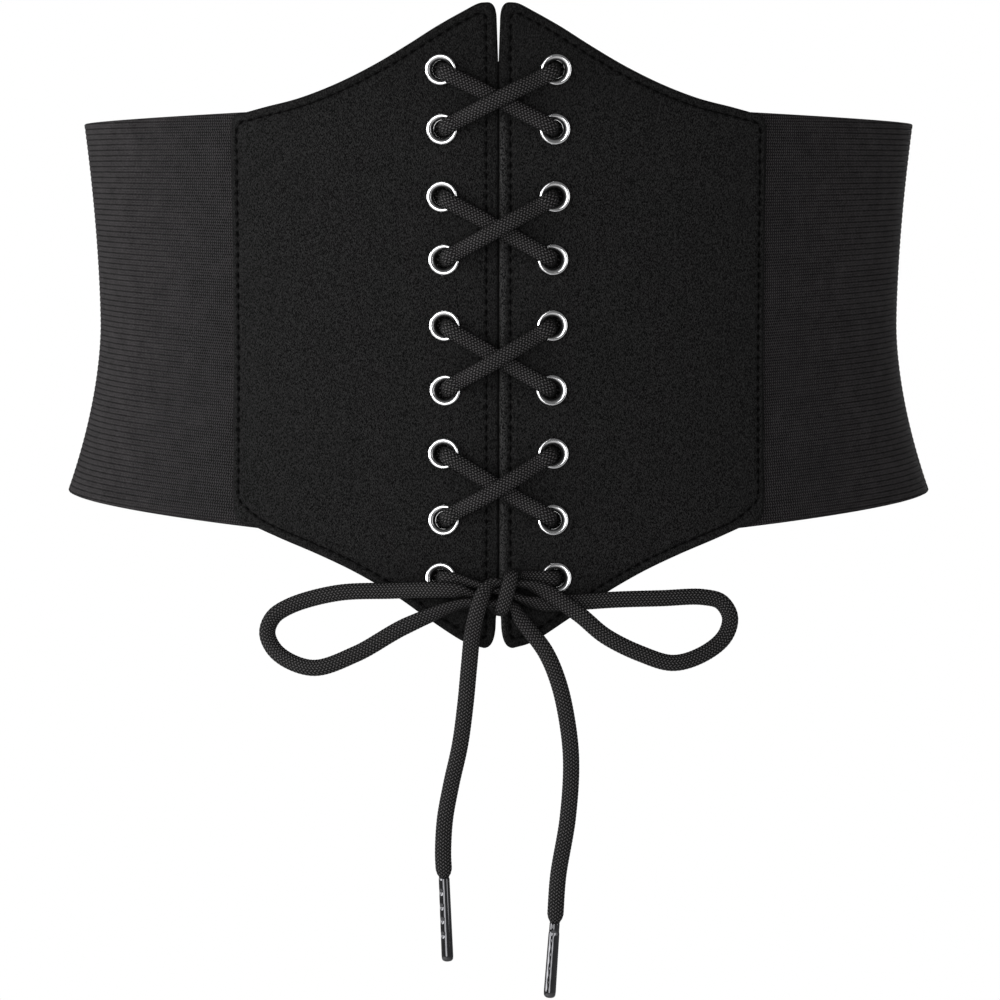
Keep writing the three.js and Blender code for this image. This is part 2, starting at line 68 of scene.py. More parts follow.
WAIST_HALF_WIDTH = 0.1364
WAIST_HALF_DEPTH = 0.095
TOP_FLARE = 0.0047
TOP_FLARE_HEIGHT = 0.067
BOTTOM_FLARE = 0.012
BOTTOM_FLARE_HEIGHT = 0.058
FLARE_POWER = 1.75
FRONT_FLARE_SHARE = 0.3

CLEARANCE = 0.0003
LAP_CLEARANCE = 0.00045
BEND_CLEARANCE = 0.00045

ELASTIC_THICKNESS = 0.0012
ELASTIC_TOP_AT_SEAM = 0.0698
ELASTIC_TOP_AT_SIDE = 0.0675
ELASTIC_BOTTOM_AT_SEAM = -0.0618
ELASTIC_BOTTOM_AT_SIDE = -0.0573
SEAM_LAP = 0.012
ELASTIC_END_GAP = 0.002

CLOSURE_WIDTH = 0.036
CLOSURE_THICKNESS = 0.0018
CLOSURE_CORNER = 0.0025
CLOSURE_SEAM_INSET = 0.0028
CLOSURE_SEAM_CORNER = 0.0015

PANEL_THICKNESS = 0.002
PANEL_WIDTH = 0.0852
MIDDLE_EDGE = -0.00001  # the folded edges of the two panels touch here
PANEL_FACE = LAP_CLEARANCE + PANEL_THICKNESS
TIP_TOP = 0.1036
TIP_BOTTOM = -0.0984
TOP_TIP_CORNER = {"across": 0.0034, "up": 0.006, "lean": 0.0005, "lean_up": 0.014}
BOTTOM_TIP_CORNER = {"across": 0.0046, "up": 0.009, "lean": 0.0008, "lean_up": 0.007}
TOP_BORDER_CORNER = 0.0045
BOTTOM_BORDER_CORNER = 0.007
# Across is a share of the panel's width, rise a share of the tip's height above the border
TOP_EDGE = (
    (0.07, 0.992), (0.13, 0.917), (0.23, 0.777), (0.33, 0.62),
    (0.46, 0.43), (0.6, 0.26), (0.74, 0.13), (0.87, 0.05),
)
BOTTOM_EDGE = ((0.12, 0.955), (0.25, 0.77), (0.38, 0.565), (0.53, 0.37), (0.67, 0.225), (0.81, 0.1))

FIRST_EYELET = 0.0828
LACED_HEIGHT = 0.1593
EYELET_FROM_MIDDLE = 0.0175
# Down is a share of the laced height, apart a share of the columns' distance from the middle
EYELET_ROWS = (
    (0, 1.03), (0.116, 1.01), (0.248, 1.01), (0.372, 0.98), (0.502, 0.97),
    (0.63, 0.96), (0.755, 0.99), (0.886, 0.985), (1, 1.04),
)
EYELET_RADIUS = 0.005
EYELET_HOLE_RADIUS = 0.0029
EYELET_WALL = 0.0004
EYELET_CROWN = 0.0011
EYELET_BACK_CURL = 0.0006

LACE_WIDTH = 0.0052
LACE_THICKNESS = 0.003
LACE_WIDTH_IN_HOLE = 0.0048
LACE_FILLING_HOLE = 0.0058
LACE_BUNCHED = 1.9
LACE_BEND_RADIUS = 0.0033
LACE_REST = 0.0005
OVER_RESTS = (0.36, 0.64)
UNDER_RESTS = (0.3, 0.5, 0.7)
MIDDLE_REST = (0.5,)

# Routes of the free cords: a point, the way the cord's wide side faces, the share of its full width
ROUTES = {
    "left": (
        ((-0.0182, -0.1030, -0.0765), (0, 0, 1), 0.9),
        ((-0.0181, -0.1039, -0.0765), (0, 0, 1), 0.9),
        ((-0.0172, -0.1052, -0.0766), (0.2, 0, 1), 0.9),
        ((-0.0149, -0.1059, -0.0768), (0.2, 0, 1), 1),
        ((-0.0118, -0.1060, -0.0774), (0.1, -0.4, 1), 0.95),
        ((-0.0086, -0.1063, -0.0779), (0, -1, 0.7), 0.87),
        ((-0.0048, -0.1072, -0.0786), (0, -1, 0.1), 0.85),
        ((-0.0011, -0.1088, -0.0795), (0, -1, 0), 0.85),
        ((0.0027, -0.1092, -0.0802), (0, -1, 0), 0.85),
        ((0.0058, -0.1090, -0.0816), (0, -1, 0), 0.85),
        ((0.0093, -0.1081, -0.0831), (0, -1, 0.7), 0.9),
        ((0.0146, -0.1066, -0.0841), (0, -0.2, 1), 1),
        ((0.0235, -0.1053, -0.0839), (0, 0, 1), 1),
        ((0.0365, -0.1041, -0.0832), (0, 0, 1), 1),
        ((0.0515, -0.1019, -0.0830), (0, 0, 1), 1),
        ((0.0648, -0.0989, -0.0830), (0.15, 0, 1), 1),
        ((0.0706, -0.0979, -0.0847), (0.7, 0, 0.7), 1),
        ((0.0734, -0.0984, -0.0894), (1, 0, 0.1), 1),
        ((0.0717, -0.1005, -0.0952), (0.8, 0, -0.5), 1),
        ((0.0646, -0.1040, -0.1005), (0.4, 0, -1), 1),
        ((0.0550, -0.1069, -0.1029), (0, 0, -1), 1),
        ((0.0448, -0.1084, -0.0998), (-0.35, 0, -1), 1),
        ((0.0335, -0.1093, -0.0940), (-0.5, 0, -1), 1),
        ((0.0256, -0.1092, -0.0874), (-0.6, 0, -1), 1),
        ((0.0165, -0.1088, -0.0811), (-0.5, 0, -1), 1),
        ((0.0124, -0.1088, -0.0789), (-0.3, 0.6, -1), 0.92),
        ((0.0080, -0.1089, -0.0776), (0, 1, -0.3), 0.85),
        ((0.0036, -0.1087, -0.0773), (0, 1, 0), 0.85),
        ((0.0005, -0.1098, -0.0771), (0, 1, -0.3), 0.87),
        ((-0.0022, -0.1109, -0.0777), (0.4, 0.6, -0.7), 0.9),
        ((-0.0045, -0.1126, -0.0799), (0.8, 0.1, -0.6), 0.95),
        ((-0.0061, -0.1132, -0.0839), (1, 0, -0.3), 1),
        ((-0.0080, -0.1122, -0.0919), (1, 0, -0.2), 1),
        ((-0.0092, -0.1110, -0.1033), (1, 0, -0.1), 1),
        ((-0.0104, -0.1101, -0.1159), (1, 0, -0.1), 1),
        ((-0.0121, -0.1095, -0.1286), (1, 0, -0.2), 1),
        ((-0.0149, -0.1090, -0.1414), (1, 0, -0.2), 1),
        ((-0.0169, -0.1085, -0.1527), (1, 0, -0.1), 1),
        ((-0.0175, -0.1080, -0.1634), (1, 0, 0), 1),
        ((-0.0172, -0.1080, -0.1708), (1, 0, 0), 0.7),
    ),
    "right": (
        ((0.0182, -0.1030, -0.0765), (0, 0, 1), 0.9),
        ((0.0181, -0.1039, -0.0765), (0, 0, 1), 0.9),
        ((0.0172, -0.1052, -0.0764), (0, 0, 1), 0.9),
        ((0.0147, -0.1059, -0.0763), (0, 0, 1), 1),
        ((0.0081, -0.1050, -0.0761), (0.2, 0, 1), 0.9),
        ((0.0058, -0.1059, -0.0752), (0.8, 0.2, 0.7), 0.85),
        ((0.0046, -0.1084, -0.0740), (1, 0, 0.2), 0.85),
        ((0.0041, -0.1116, -0.0744), (1, 0, 0.1), 0.87),
        ((0.0035, -0.1134, -0.0769), (1, 0, -0.2), 0.9),
        ((0.0023, -0.1137, -0.0812), (1, 0, -0.25), 0.9),
        ((0.0011, -0.1125, -0.0853), (1, 0, -0.2), 0.87),
        ((0.0006, -0.1100, -0.0863), (1, 0, 0), 0.85),
        ((0.0000, -0.1075, -0.0858), (0.9, 0.2, 0.4), 0.85),
        ((-0.0016, -0.1060, -0.0843), (0.5, 0, 0.9), 0.85),
        ((-0.0043, -0.1063, -0.0823), (0.3, -0.7, 0.7), 0.85),
        ((-0.0073, -0.1073, -0.0813), (0, -1, 0.2), 0.85),
        ((-0.0102, -0.1084, -0.0805), (0, -0.8, 0.6), 0.87),
        ((-0.0136, -0.1093, -0.0797), (0, -0.2, 1), 0.95),
        ((-0.0200, -0.1087, -0.0795), (0, 0, 1), 1),
        ((-0.0340, -0.1044, -0.0803), (0, 0, 1), 1),
        ((-0.0510, -0.1016, -0.0814), (-0.1, 0, 1), 1),
        ((-0.0660, -0.0993, -0.0858), (-0.6, 0, 0.8), 1),
        ((-0.0715, -0.0990, -0.0896), (-0.9, 0, 0.4), 1),
        ((-0.0732, -0.0996, -0.0946), (-1, 0, -0.1), 1),
        ((-0.0696, -0.1022, -0.1006), (-0.7, 0, -0.7), 1),
        ((-0.0585, -0.1060, -0.1046), (0, 0, -1), 1),
        ((-0.0448, -0.1080, -0.0999), (0.5, 0, -0.9), 1),
        ((-0.0290, -0.1088, -0.0909), (0.5, 0, -0.9), 1),
        ((-0.0105, -0.1086, -0.0839), (0.1, 0.8, -0.6), 0.9),
        ((-0.0015, -0.1093, -0.0837), (0, 1, 0), 0.85),
        ((0.0022, -0.1096, -0.0832), (0, 1, 0), 0.85),
        ((0.0050, -0.1097, -0.0850), (0.4, 0.8, 0.3), 0.85),
        ((0.0070, -0.1097, -0.0886), (0.8, 0.4, 0.5), 0.95),
        ((0.0146, -0.1096, -0.0987), (0.9, 0, 0.5), 1),
        ((0.0186, -0.1095, -0.1079), (0.95, 0, 0.3), 1),
        ((0.0213, -0.1095, -0.1191), (1, 0, 0.2), 1),
        ((0.0229, -0.1090, -0.1335), (1, 0, 0), 1),
        ((0.0219, -0.1085, -0.1520), (1, 0, -0.1), 1),
        ((0.0189, -0.1080, -0.1708), (1, 0, -0.15), 1),
        ((0.0179, -0.1080, -0.1853), (1, 0, 0), 0.7),
    ),
}

# Sizes of the finer shapes

# Braid: cells around the cord and along it, and how far its strands stand out
CELLS_AROUND = 8
CELL_LENGTH = 0.00115
BRAID_STEP = CELL_LENGTH / 4
BRAID_SIDES = 32
BRAID_RELIEF = 0.00006
STRAND_LEAN = 0.9

# Elastic: ribs, and the knitted loops, two rows of them to a rib
RIB_PITCH = 0.00177
RIB_DEPTH = 0.00016
KNIT_PITCH = 0.0008
LOOP_LEAN = 0.5
# Level, and how far a rib drops from the side to the seam at that level
RIB_DROP = ((-0.057, 0.028, 0.062), (0.0033, 0.0019, 0))
RIB_PROFILE = ((0, 1), (0.14, 0.45), (0.32, 0.08), (0.5, 0), (0.68, 0.08), (0.86, 0.45))
RIBS_FROM, RIBS_TO = -0.068, 0.075
ELASTIC_COLUMNS = 110
SELVEDGE_ROLL = 0.0006
PLAIN_SELVEDGE, SELVEDGE_FADE = 0.0004, 0.0008

# Sewn pieces: folded edges, the sewn groove and its stitches
OUTLINE_STEP = 0.0006
SEAM_STEP = 0.00042
CLOTH_STEP = 0.00085
# Rows of points that follow an edge, the sewn line and a hole, by how far they are set in
NEAR_EDGE = (0.00015, 0.0004, 0.0008, 0.0013, 0.0019)
NEAR_SEAM = (-0.0008, -0.0004, 0, 0.0004, 0.0008)
NEAR_HOLE = (0.0003, 0.0008, 0.0014, 0.0021)
HOLE_SIDES = 40
HOLE_SHARE = 0.995  # a triangle whose middle is nearer than this share of the radius is in the hole
# How near the plain grid and any point may come to an edge, a hole or the sewn line
GRID_FROM_EDGE, GRID_FROM_HOLE, GRID_FROM_SEAM = 0.0023, 0.0025, 0.0013
POINT_FROM_EDGE, POINT_FROM_HOLE = 0.00012, 0.0002
SAME_POINT = 0.00012
ON_EDGE = 1e-5
LEAST_THICKNESS = 0.0002
HOLE_ROOM = 0.0002
FOLD_ROLL = 0.0011
MIDDLE_FOLD_ROLL = 0.0019
BACK_ROLL = 0.0007
SEAM_FROM_MIDDLE = 0.0038
SEAM_FROM_SLOPE = 0.0028
SEAM_FROM_BORDER = 0.0019
SEAM_CORNER_CUT = (0.0075, 0.0079)
STITCH_PITCH = 0.0033
STITCH_LENGTH = 0.0024
STITCH_THICKNESS = 0.00043
GROOVE_DEPTH = 0.00028
GROOVE_HALF = 0.0005
GROOVE_FROM_EDGE = 0.0008
PUNCTURE_DEPTH = 0.0006
PUNCTURE_RADIUS = 0.00042
EYELET_PRESS = 0.00025
EYELET_PRESS_ROUND = {"from": 0.0015, "over": 0.0016, "to": 0.0031}
FOLD_WIDTH = 0.0022
FOLD_PROUD = {"left": 0.0, "right": 0.00045}
LAYERS = {"pitch": 0.0012, "relief": 0.00005, "middle": 0.55, "reach": 0.4, "from_edge": 0.0002}
# Painted shade on the cloth: along the sewn line and at its stitches, at the cut edges and towards the
# pointed tips; a painted highlight on the proud fold, and painted light and shade on the turned-in layers
SEAM_PAINTED_SHADE = {"half": 0.0005, "line": 0.22, "stitch": 0.77, "reach": 0.00095}
EDGE_PAINTED_SHADE = {"half": 0.0004, "share": 0.7}
TIP_PAINTED_SHADE = {"from": 0.065, "over": 0.03, "share": 0.3}
LAYER_PAINTED_SHADING = 0.25
FOLD_PAINTED_HIGHLIGHT = {"from": 0.0003, "to": 0.0021, "soft": 0.0003, "below": 0.074, "over": 0.01, "gain": 1.6}

# Each cloth's darkest and lightest colour, its finish, and its relief's strength and depth
CLOTHS = {
    "suede": {
        "dark": (0.0004, 0.0004, 0.0004), "light": (0.0198, 0.0196, 0.0196),
        "roughness": 0.92, "specular": 0.1, "relief": (1.0, 0.0003),
    },
    "elastic": {
        "dark": (0.0003, 0.0002, 0.0003), "light": (0.0425, 0.0392, 0.0408),
        "roughness": 0.85, "specular": 0.12, "relief": (0.6, 0.0002),
    },
    "braid": {
        "dark": (0.0012, 0.0012, 0.0012), "light": (0.081, 0.077, 0.078),
        "roughness": 0.6, "specular": 0.15, "relief": (0.9, 0.0003),
    },
    # The thread is black, and is darkened further as painted shade of the sunk stitches
    "thread": {
        "dark": (0.0002, 0.0002, 0.0002), "light": (0.0012, 0.0012, 0.0012),
        "roughness": 0.85, "specular": 0.05, "relief": (0.5, 0.0001),
    },
}
# Each metal's colour, roughness and share of wear, and how dark (painted shade) and dull an eyelet's inside
# is
METALS = {
    "polished_nickel": ((0.86, 0.86, 0.87), 0.13, 0.12),
    "gunmetal": ((0.16, 0.16, 0.168), 0.05, 0.6),
}
METAL_RELIEF = (0.03, 0.00004)
INNER_PAINTED_SHADE, INNER_DULLNESS = 0.12, 0.35
# Fibres and mottles to a metre, and how far the fibres are drawn out upwards
FIBRES = {
    "suede": (4300.0, 1400.0, 0.4),
    "elastic": (2300.0, 160.0, 1.0),
    "braid": (2600.0, 300.0, 1.0),
    "thread": (4000.0, 800.0, 1.0),
    "metal": (900.0, 250.0, 0.3),
}
MOTTLE_SHARE = 0.2


# The wall of the waist

def oval_at(level, out):
    """Half width and half depth of the oval at a level, for a face that stands out from the elastic's."""
    level = np.asarray(level, float)
    above = TOP_FLARE * (np.abs(level) / TOP_FLARE_HEIGHT) ** FLARE_POWER
    below = BOTTOM_FLARE * (np.abs(level) / BOTTOM_FLARE_HEIGHT) ** FLARE_POWER
    flare = np.where(level > 0, above, below)
    return WAIST_HALF_WIDTH + flare + out, WAIST_HALF_DEPTH + FRONT_FLARE_SHARE * flare + out


def wall_point(turn, level, out):
    """A point on the oval by its turn from the front, counted towards +X."""
    width, depth = oval_at(level, out)
    x = width * np.sin(turn)
    y = -depth * np.cos(turn)
    return np.stack(np.broadcast_arrays(x, y, level), axis=-1)


def front_point(across, level, out):
    """A point on the front of the oval by its distance from the middle."""
    width, depth = oval_at(level, out)
    y = -depth * np.sqrt(1 - (across / width) ** 2)
    return np.stack(np.broadcast_arrays(across, y, level), axis=-1)


def closure_point(across, level, out):
    """A point on the back of the oval by its distance from the middle."""
    width, _ = oval_at(level, 0)
    return wall_point(math.pi + np.arcsin(across / width), level, out)


def unit(vectors):
    return vectors / np.linalg.norm(vectors, axis=-1, keepdims=True)


def outward_at(place, across, level):
    step = 0.0005
    along = place(across + step, level, 0) - place(across - step, level, 0)
    up = place(across, level + step, 0) - place(across, level - step, 0)
    return unit(np.cross(along, up))


# Meshes

def make_piece(name, points, faces, material, uv=None):
    mesh = bpy.data.meshes.new(name)
    mesh.from_pydata(np.asarray(points).tolist(), [], faces)
    if uv is not None:
        layer = mesh.uv_layers.new(name="UVMap")
        layer.data.foreach_set("uv", np.asarray(uv, float).ravel())
    mesh.materials.append(material)
    mesh.shade_smooth()
    piece = bpy.data.objects.new(name, mesh)
    scene.collection.objects.link(piece)
    return piece


def add_attribute(piece, name, values):
    piece.data.attributes.new(name, "FLOAT", "POINT").data.foreach_set("value", np.asarray(values, float))


def grid_quads(rows, columns, wrap=False):
    """Corner indices of the quads between rows of points; wrap joins the last column to the first."""
    row = np.arange(rows - 1)[:, None]
    column = np.arange(columns if wrap else columns - 1)[None, :]
    after = (column + 1) % columns
    low, high = row * columns, (row + 1) * columns
    corners = (low + column, low + after, high + after, high + column)
    return np.stack(np.broadcast_arrays(*corners), axis=-1).reshape(-1, 4)


def grid_uv(across, up):
    """U and V of the same quads' corners, from a value for each column of points and for each row."""
    u = np.stack([across[:-1], across[1:], across[1:], across[:-1]], axis=-1)[None]
    v = np.stack([up[:-1], up[:-1], up[1:], up[1:]], axis=-1)[:, None]
    return np.stack(np.broadcast_arrays(u, v), axis=-1)


def closed_length(points):
    return np.linalg.norm(np.roll(points, -1, axis=0) - points, axis=1)


def evenly(points, step):
    """A closed line's points, spaced evenly."""
    loop = np.vstack([points, points[:1]])
    run = np.concatenate([[0], np.cumsum(np.linalg.norm(np.diff(loop, axis=0), axis=1))])
    places = np.linspace(0, run[-1], int(round(run[-1] / step)), endpoint=False)
    return np.column_stack([np.interp(places, run, loop[:, k]) for k in range(loop.shape[1])])


def curve_through(points, steps=24):
    """A smooth curve through points, and each of its points' place between them."""
    points = np.asarray(points, float)
    ends = np.vstack([2 * points[0] - points[1], points, 2 * points[-1] - points[-2]])
    curve, places = [], []
    for i in range(len(points) - 1):
        p = ends[i : i + 4]
        knots = np.concatenate([[0], np.cumsum(np.sqrt(np.linalg.norm(np.diff(p, axis=0), axis=1)))])
        t = np.linspace(knots[1], knots[2], steps, endpoint=False)[:, None]

        def between(low, high, a, b):
            share = (t - knots[low]) / (knots[high] - knots[low])
            return (1 - share) * a + share * b

        first = [between(j, j + 1, p[j], p[j + 1]) for j in range(3)]
        second = [between(j, j + 2, first[j], first[j + 1]) for j in range(2)]
        curve.append(between(1, 2, second[0], second[1]))
        places.append(i + np.arange(steps) / steps)
    curve.append(points[-1:])
    places.append([len(points) - 1])
    return np.vstack(curve), np.concatenate(places)


# Cords

def untwisted(stations):
    """Neighbouring stations keep their wide sides on the same hand; a station may end in a fourth
    value, how much thicker than usual the cord is bunched there."""
    result = []
    for at, wide, full, *bunched in stations:
        wide = np.array(wide, float)
        if result and wide @ result[-1][1] < 0:
            wide = -wide
        result.append((np.array(at, float), wide, full, bunched[0] if bunched else 1))
    return result


def cord_rings(stations, step):
    """Evenly spaced centres on a smooth curve through the stations, with the cord's frame at each."""
    curve, places = curve_through([station[0] for station in stations])
    run = np.concatenate([[0], np.cumsum(np.linalg.norm(np.diff(curve, axis=0), axis=1))])
    even = np.linspace(0, run[-1], int(round(run[-1] / step)) + 1)
    centres = np.column_stack([np.interp(even, run, curve[:, k]) for k in range(3)])
    place = np.interp(even, run, places)
    order = np.arange(len(stations))
    wide = np.column_stack([np.interp(place, order, [s[1][k] for s in stations]) for k in range(3)])
    full = np.interp(place, order, [s[2] for s in stations])
    thick = np.sqrt(full) * np.interp(place, order, [s[3] for s in stations])
    tangent = unit(np.gradient(centres, axis=0))
    wide = unit(wide - tangent * np.sum(wide * tangent, axis=1, keepdims=True))
    return centres, tangent, wide, full, thick


def strand_height(u, v):
    """Height of a braid's strands: each comes up once in a cell, leaning to one side in every other row."""
    row = np.floor(2 * u)
    odd = row % 2
    along = (v + odd / 2) % 1 - 0.5
    across = 2 * u - row - 0.5 + (2 * odd - 1) * STRAND_LEAN * along
    return np.cos(math.pi * np.clip(across, -0.5, 0.5)) * np.cos(math.pi * along)


def section(sides):
    """Points round a flat oval, evenly spaced, for half widths of one wide and one thin unit."""
    angle = np.linspace(0, 2 * math.pi, 721)
    oval = np.column_stack([LACE_WIDTH / 2 * np.cos(angle), LACE_THICKNESS / 2 * np.sin(angle)])
    run = np.concatenate([[0], np.cumsum(np.linalg.norm(np.diff(oval, axis=0), axis=1))])
    return np.interp(np.arange(sides) / sides * run[-1], run, angle)


def braided_cord(name, stations, material):
    """A flat-oval braid along its stations, with its centres."""
    centres, tangent, wide, full, thick = cord_rings(untwisted(stations), BRAID_STEP)
    thin = np.cross(tangent, wide)
    rings = len(centres)
    angle = section(BRAID_SIDES)
    around = np.arange(BRAID_SIDES) * CELLS_AROUND / BRAID_SIDES
    along = np.arange(rings) * BRAID_STEP / CELL_LENGTH
    lift = BRAID_RELIEF * (strand_height(around[None, :] + 0.25, along[:, None]) - 0.6)
    reach_wide = (LACE_WIDTH / 2 * full[:, None] + lift) * np.cos(angle)
    reach_thin = (LACE_THICKNESS / 2 * thick[:, None] + lift) * np.sin(angle)
    points = centres[:, None] + wide[:, None] * reach_wide[..., None] + thin[:, None] * reach_thin[..., None]
    points = np.vstack([points.reshape(-1, 3), centres[:1], centres[-1:]])
    quads = grid_quads(rings, BRAID_SIDES, wrap=True)
    side = np.arange(BRAID_SIDES)
    after = (side + 1) % BRAID_SIDES
    last = (rings - 1) * BRAID_SIDES
    start_cap = np.stack([np.full_like(side, len(points) - 2), after, side], axis=1)
    end_cap = np.stack([np.full_like(side, len(points) - 1), last + side, last + after], axis=1)
    cells = grid_uv(np.arange(BRAID_SIDES + 1) * CELLS_AROUND / BRAID_SIDES, along)
    uv = np.concatenate([cells.reshape(-1, 2), np.zeros((6 * BRAID_SIDES, 2))])
    faces = quads.tolist() + start_cap.tolist() + end_cap.tolist()
    return make_piece(name, points, faces, material, uv), centres


def eyelet_seat(row, side):
    """The middle of an eyelet on the panel's outer face, and the way it faces."""
    down, apart = EYELET_ROWS[row]
    across = side * EYELET_FROM_MIDDLE * apart
    level = FIRST_EYELET - LACED_HEIGHT * down
    return front_point(across, level, PANEL_FACE), outward_at(front_point, across, level)


def lace_stations():
    """The laced part of the cord, through all the eyelets, as in the solids."""
    bend = LACE_BEND_RADIUS
    lying = LAP_CLEARANCE + LACE_THICKNESS / 2
    over = lying + LACE_THICKNESS + CLEARANCE
    curl_back = PANEL_THICKNESS + LAP_CLEARANCE + EYELET_BACK_CURL
    hole_share = LACE_WIDTH_IN_HOLE / LACE_WIDTH
    turned = bend * (1 - math.sqrt(0.5))
    upright = np.array([0, 0, 1.0])

    def in_hole(seat, wide):
        """Through the panel, where the braid bunches up and fills the hole behind."""
        middle = (seat[0] - seat[1] * PANEL_THICKNESS / 2, wide, hole_share)
        behind = (seat[0] - seat[1] * PANEL_THICKNESS, wide, LACE_FILLING_HOLE / LACE_WIDTH, LACE_BUNCHED)
        return [middle, behind]

    def leaving(seat, toward, hand):
        top = EYELET_CROWN + BEND_CLEARANCE if hand > 0 else curl_back + BEND_CLEARANCE
        top = hand * (top + LACE_THICKNESS / 2)
        wide = np.cross(toward, seat[1]) * hand
        return [
            (seat[0] + toward * turned + seat[1] * (top - hand * turned), wide, hole_share),
            (seat[0] + toward * bend + seat[1] * top, wide, 1),
            (seat[0] + toward * (EYELET_RADIUS + LACE_REST) + seat[1] * top, wide, 1),
        ]

    def strand(start, end, height, shares):
        toward = unit(end[0] - start[0])
        hand = 1 if height > 0 else -1
        middle = []
        for share in shares:
            x, _, z = start[0] + (end[0] - start[0]) * share
            middle.append((front_point(x, z, PANEL_FACE + height), np.cross(toward, start[1]) * hand, 1))
        return leaving(start, toward, hand) + middle + leaving(end, -toward, hand)[::-1]

    def half(start):
        stations = []
        for row in range(len(EYELET_ROWS) - 1):
            side = start if row % 2 == 0 else -start
            here, below = eyelet_seat(row, side), eyelet_seat(row + 1, -side)
            in_front, upper = row % 2 == 0, start > 0
            if row > 0:
                stations += in_hole(here, upright * side)[:: -1 if in_front else 1]
            if in_front:
                height, rests = (over, OVER_RESTS) if upper else (lying, UNDER_RESTS)
            else:
                height, rests = (over, OVER_RESTS) if upper else (lying, MIDDLE_REST)
                height = -PANEL_THICKNESS - height
            stations += strand(here, below, height, rests)
        last = eyelet_seat(len(EYELET_ROWS) - 1, start)
        stations += in_hole(last, upright)[::-1]
        stations.append((last[0] - last[1] * CLEARANCE, upright, hole_share))
        return stations

    left, right = eyelet_seat(0, -1), eyelet_seat(0, 1)
    across = strand(left, right, -PANEL_THICKNESS - lying, MIDDLE_REST)
    return half(-1)[::-1] + in_hole(left, upright) + across + in_hole(right, upright)[::-1] + half(1)


# Materials

def shader(name):
    material = bpy.data.materials.new(name)
    material.use_nodes = True
    return material, material.node_tree, material.node_tree.nodes["Principled BSDF"]


def node(tree, kind, inputs=(), **settings):
    """A node with its settings, and its inputs as values or as sockets to link from."""
    made = tree.nodes.new(kind)
    for key, value in settings.items():
        setattr(made, key, value)
    for key, value in dict(inputs).items():
        if isinstance(value, bpy.types.NodeSocket):
            tree.links.new(value, made.inputs[key])
        else:
            made.inputs[key].default_value = value
    return made


def sum_of(tree, operation, *values):
    """The result of a Math node on values or sockets."""
    return node(tree, "ShaderNodeMath", enumerate(values), operation=operation).outputs[0]


def times_plus(tree, value, by, plus):
    return sum_of(tree, "MULTIPLY_ADD", value, by, plus)


def cosine(tree, value, by):
    return sum_of(tree, "COSINE", sum_of(tree, "MULTIPLY", value, by))


def range_of(tree, value, low, high, to_low=0.0, to_high=1.0, **settings):
    """A value's range laid on another."""
    ends = {"From Min": low, "From Max": high, "To Min": to_low, "To Max": to_high}
    return node(tree, "ShaderNodeMapRange", {"Value": value, **ends}, **settings).outputs[0]


def mixed(tree, share, low, high):
    """A colour between two, by a socket."""
    mix = node(tree, "ShaderNodeMix", {"Factor": share}, data_type="RGBA")
    mix.inputs["A"].default_value = (*low, 1)
    mix.inputs["B"].default_value = (*high, 1)
    return mix.outputs["Result"]


def scaled(tree, colour, by):
    return node(tree, "ShaderNodeVectorMath", {0: colour, "Scale": by}, operation="SCALE").outputs[0]


def noise(tree, place, scale, detail, roughness):
    values = {"Vector": place, "Scale": scale, "Detail": detail, "Roughness": roughness}
    return node(tree, "ShaderNodeTexNoise", values).outputs[0]


def bumped(tree, bsdf, height, strength, distance):
    values = {"Height": height, "Strength": strength, "Distance": distance}
    bump = node(tree, "ShaderNodeBump", values)
    tree.links.new(bump.outputs["Normal"], bsdf.inputs["Normal"])


def new_group(name, inputs, outputs):
    """A node group with named sockets: Vector carries a place, and each other one a number."""
    group = bpy.data.node_groups.new(name, "ShaderNodeTree")
    for socket in inputs:
        kind = "NodeSocketVector" if socket == "Vector" else "NodeSocketFloat"
        group.interface.new_socket(name=socket, in_out="INPUT", socket_type=kind)
    for socket in outputs:
        group.interface.new_socket(name=socket, in_out="OUTPUT", socket_type="NodeSocketFloat")
    return group, group.nodes.new("NodeGroupInput"), group.nodes.new("NodeGroupOutput")


def fibre_group():
    """Short fibres and soft mottling of a napped or worn surface."""
    group, given, result = new_group("fibre", ("Vector", "Fibre", "Mottle", "Lean"), ("Height", "Shade"))
    place = given.outputs["Vector"]
    lean = node(group, "ShaderNodeCombineXYZ", {"X": 1.0, "Y": 1.0, "Z": given.outputs["Lean"]})
    drawn = node(group, "ShaderNodeVectorMath", {0: place, 1: lean.outputs[0]}, operation="MULTIPLY")
    fibre = noise(group, drawn.outputs[0], given.outputs["Fibre"], 3.0, 0.65)
    mottle = noise(group, place, given.outputs["Mottle"], 4.0, 0.6)
    fine = sum_of(group, "MULTIPLY", fibre, 1 - MOTTLE_SHARE)
    group.links.new(fibre, result.inputs["Height"])
    group.links.new(times_plus(group, mottle, MOTTLE_SHARE, fine), result.inputs["Shade"])
    return group


def braid_group():
    """A braid's strands as they come up, over cells counted in U around and V along the cord."""
    group, given, result = new_group("braid_strands", ("Vector", "Lean"), ("Height",))
    uv = node(group, "ShaderNodeSeparateXYZ", {0: given.outputs["Vector"]})
    rows = times_plus(group, uv.outputs[0], 2.0, 0.5)
    odd = sum_of(group, "FLOORED_MODULO", sum_of(group, "FLOOR", rows), 2.0)
    along = sum_of(group, "FRACT", times_plus(group, odd, 0.5, uv.outputs[1]))
    along = sum_of(group, "SUBTRACT", along, 0.5)
    lean = sum_of(group, "MULTIPLY", times_plus(group, odd, 2.0, -1.0), given.outputs["Lean"])
    across = sum_of(group, "SUBTRACT", sum_of(group, "FRACT", rows), 0.5)
    across = sum_of(group, "ABSOLUTE", times_plus(group, lean, along, across))
    crown = cosine(group, sum_of(group, "MINIMUM", across, 0.5), math.pi)
    dive = cosine(group, along, math.pi)
    group.links.new(sum_of(group, "MULTIPLY", crown, dive), result.inputs["Height"])
    return group


fibre = fibre_group()
braid_strands = braid_group()


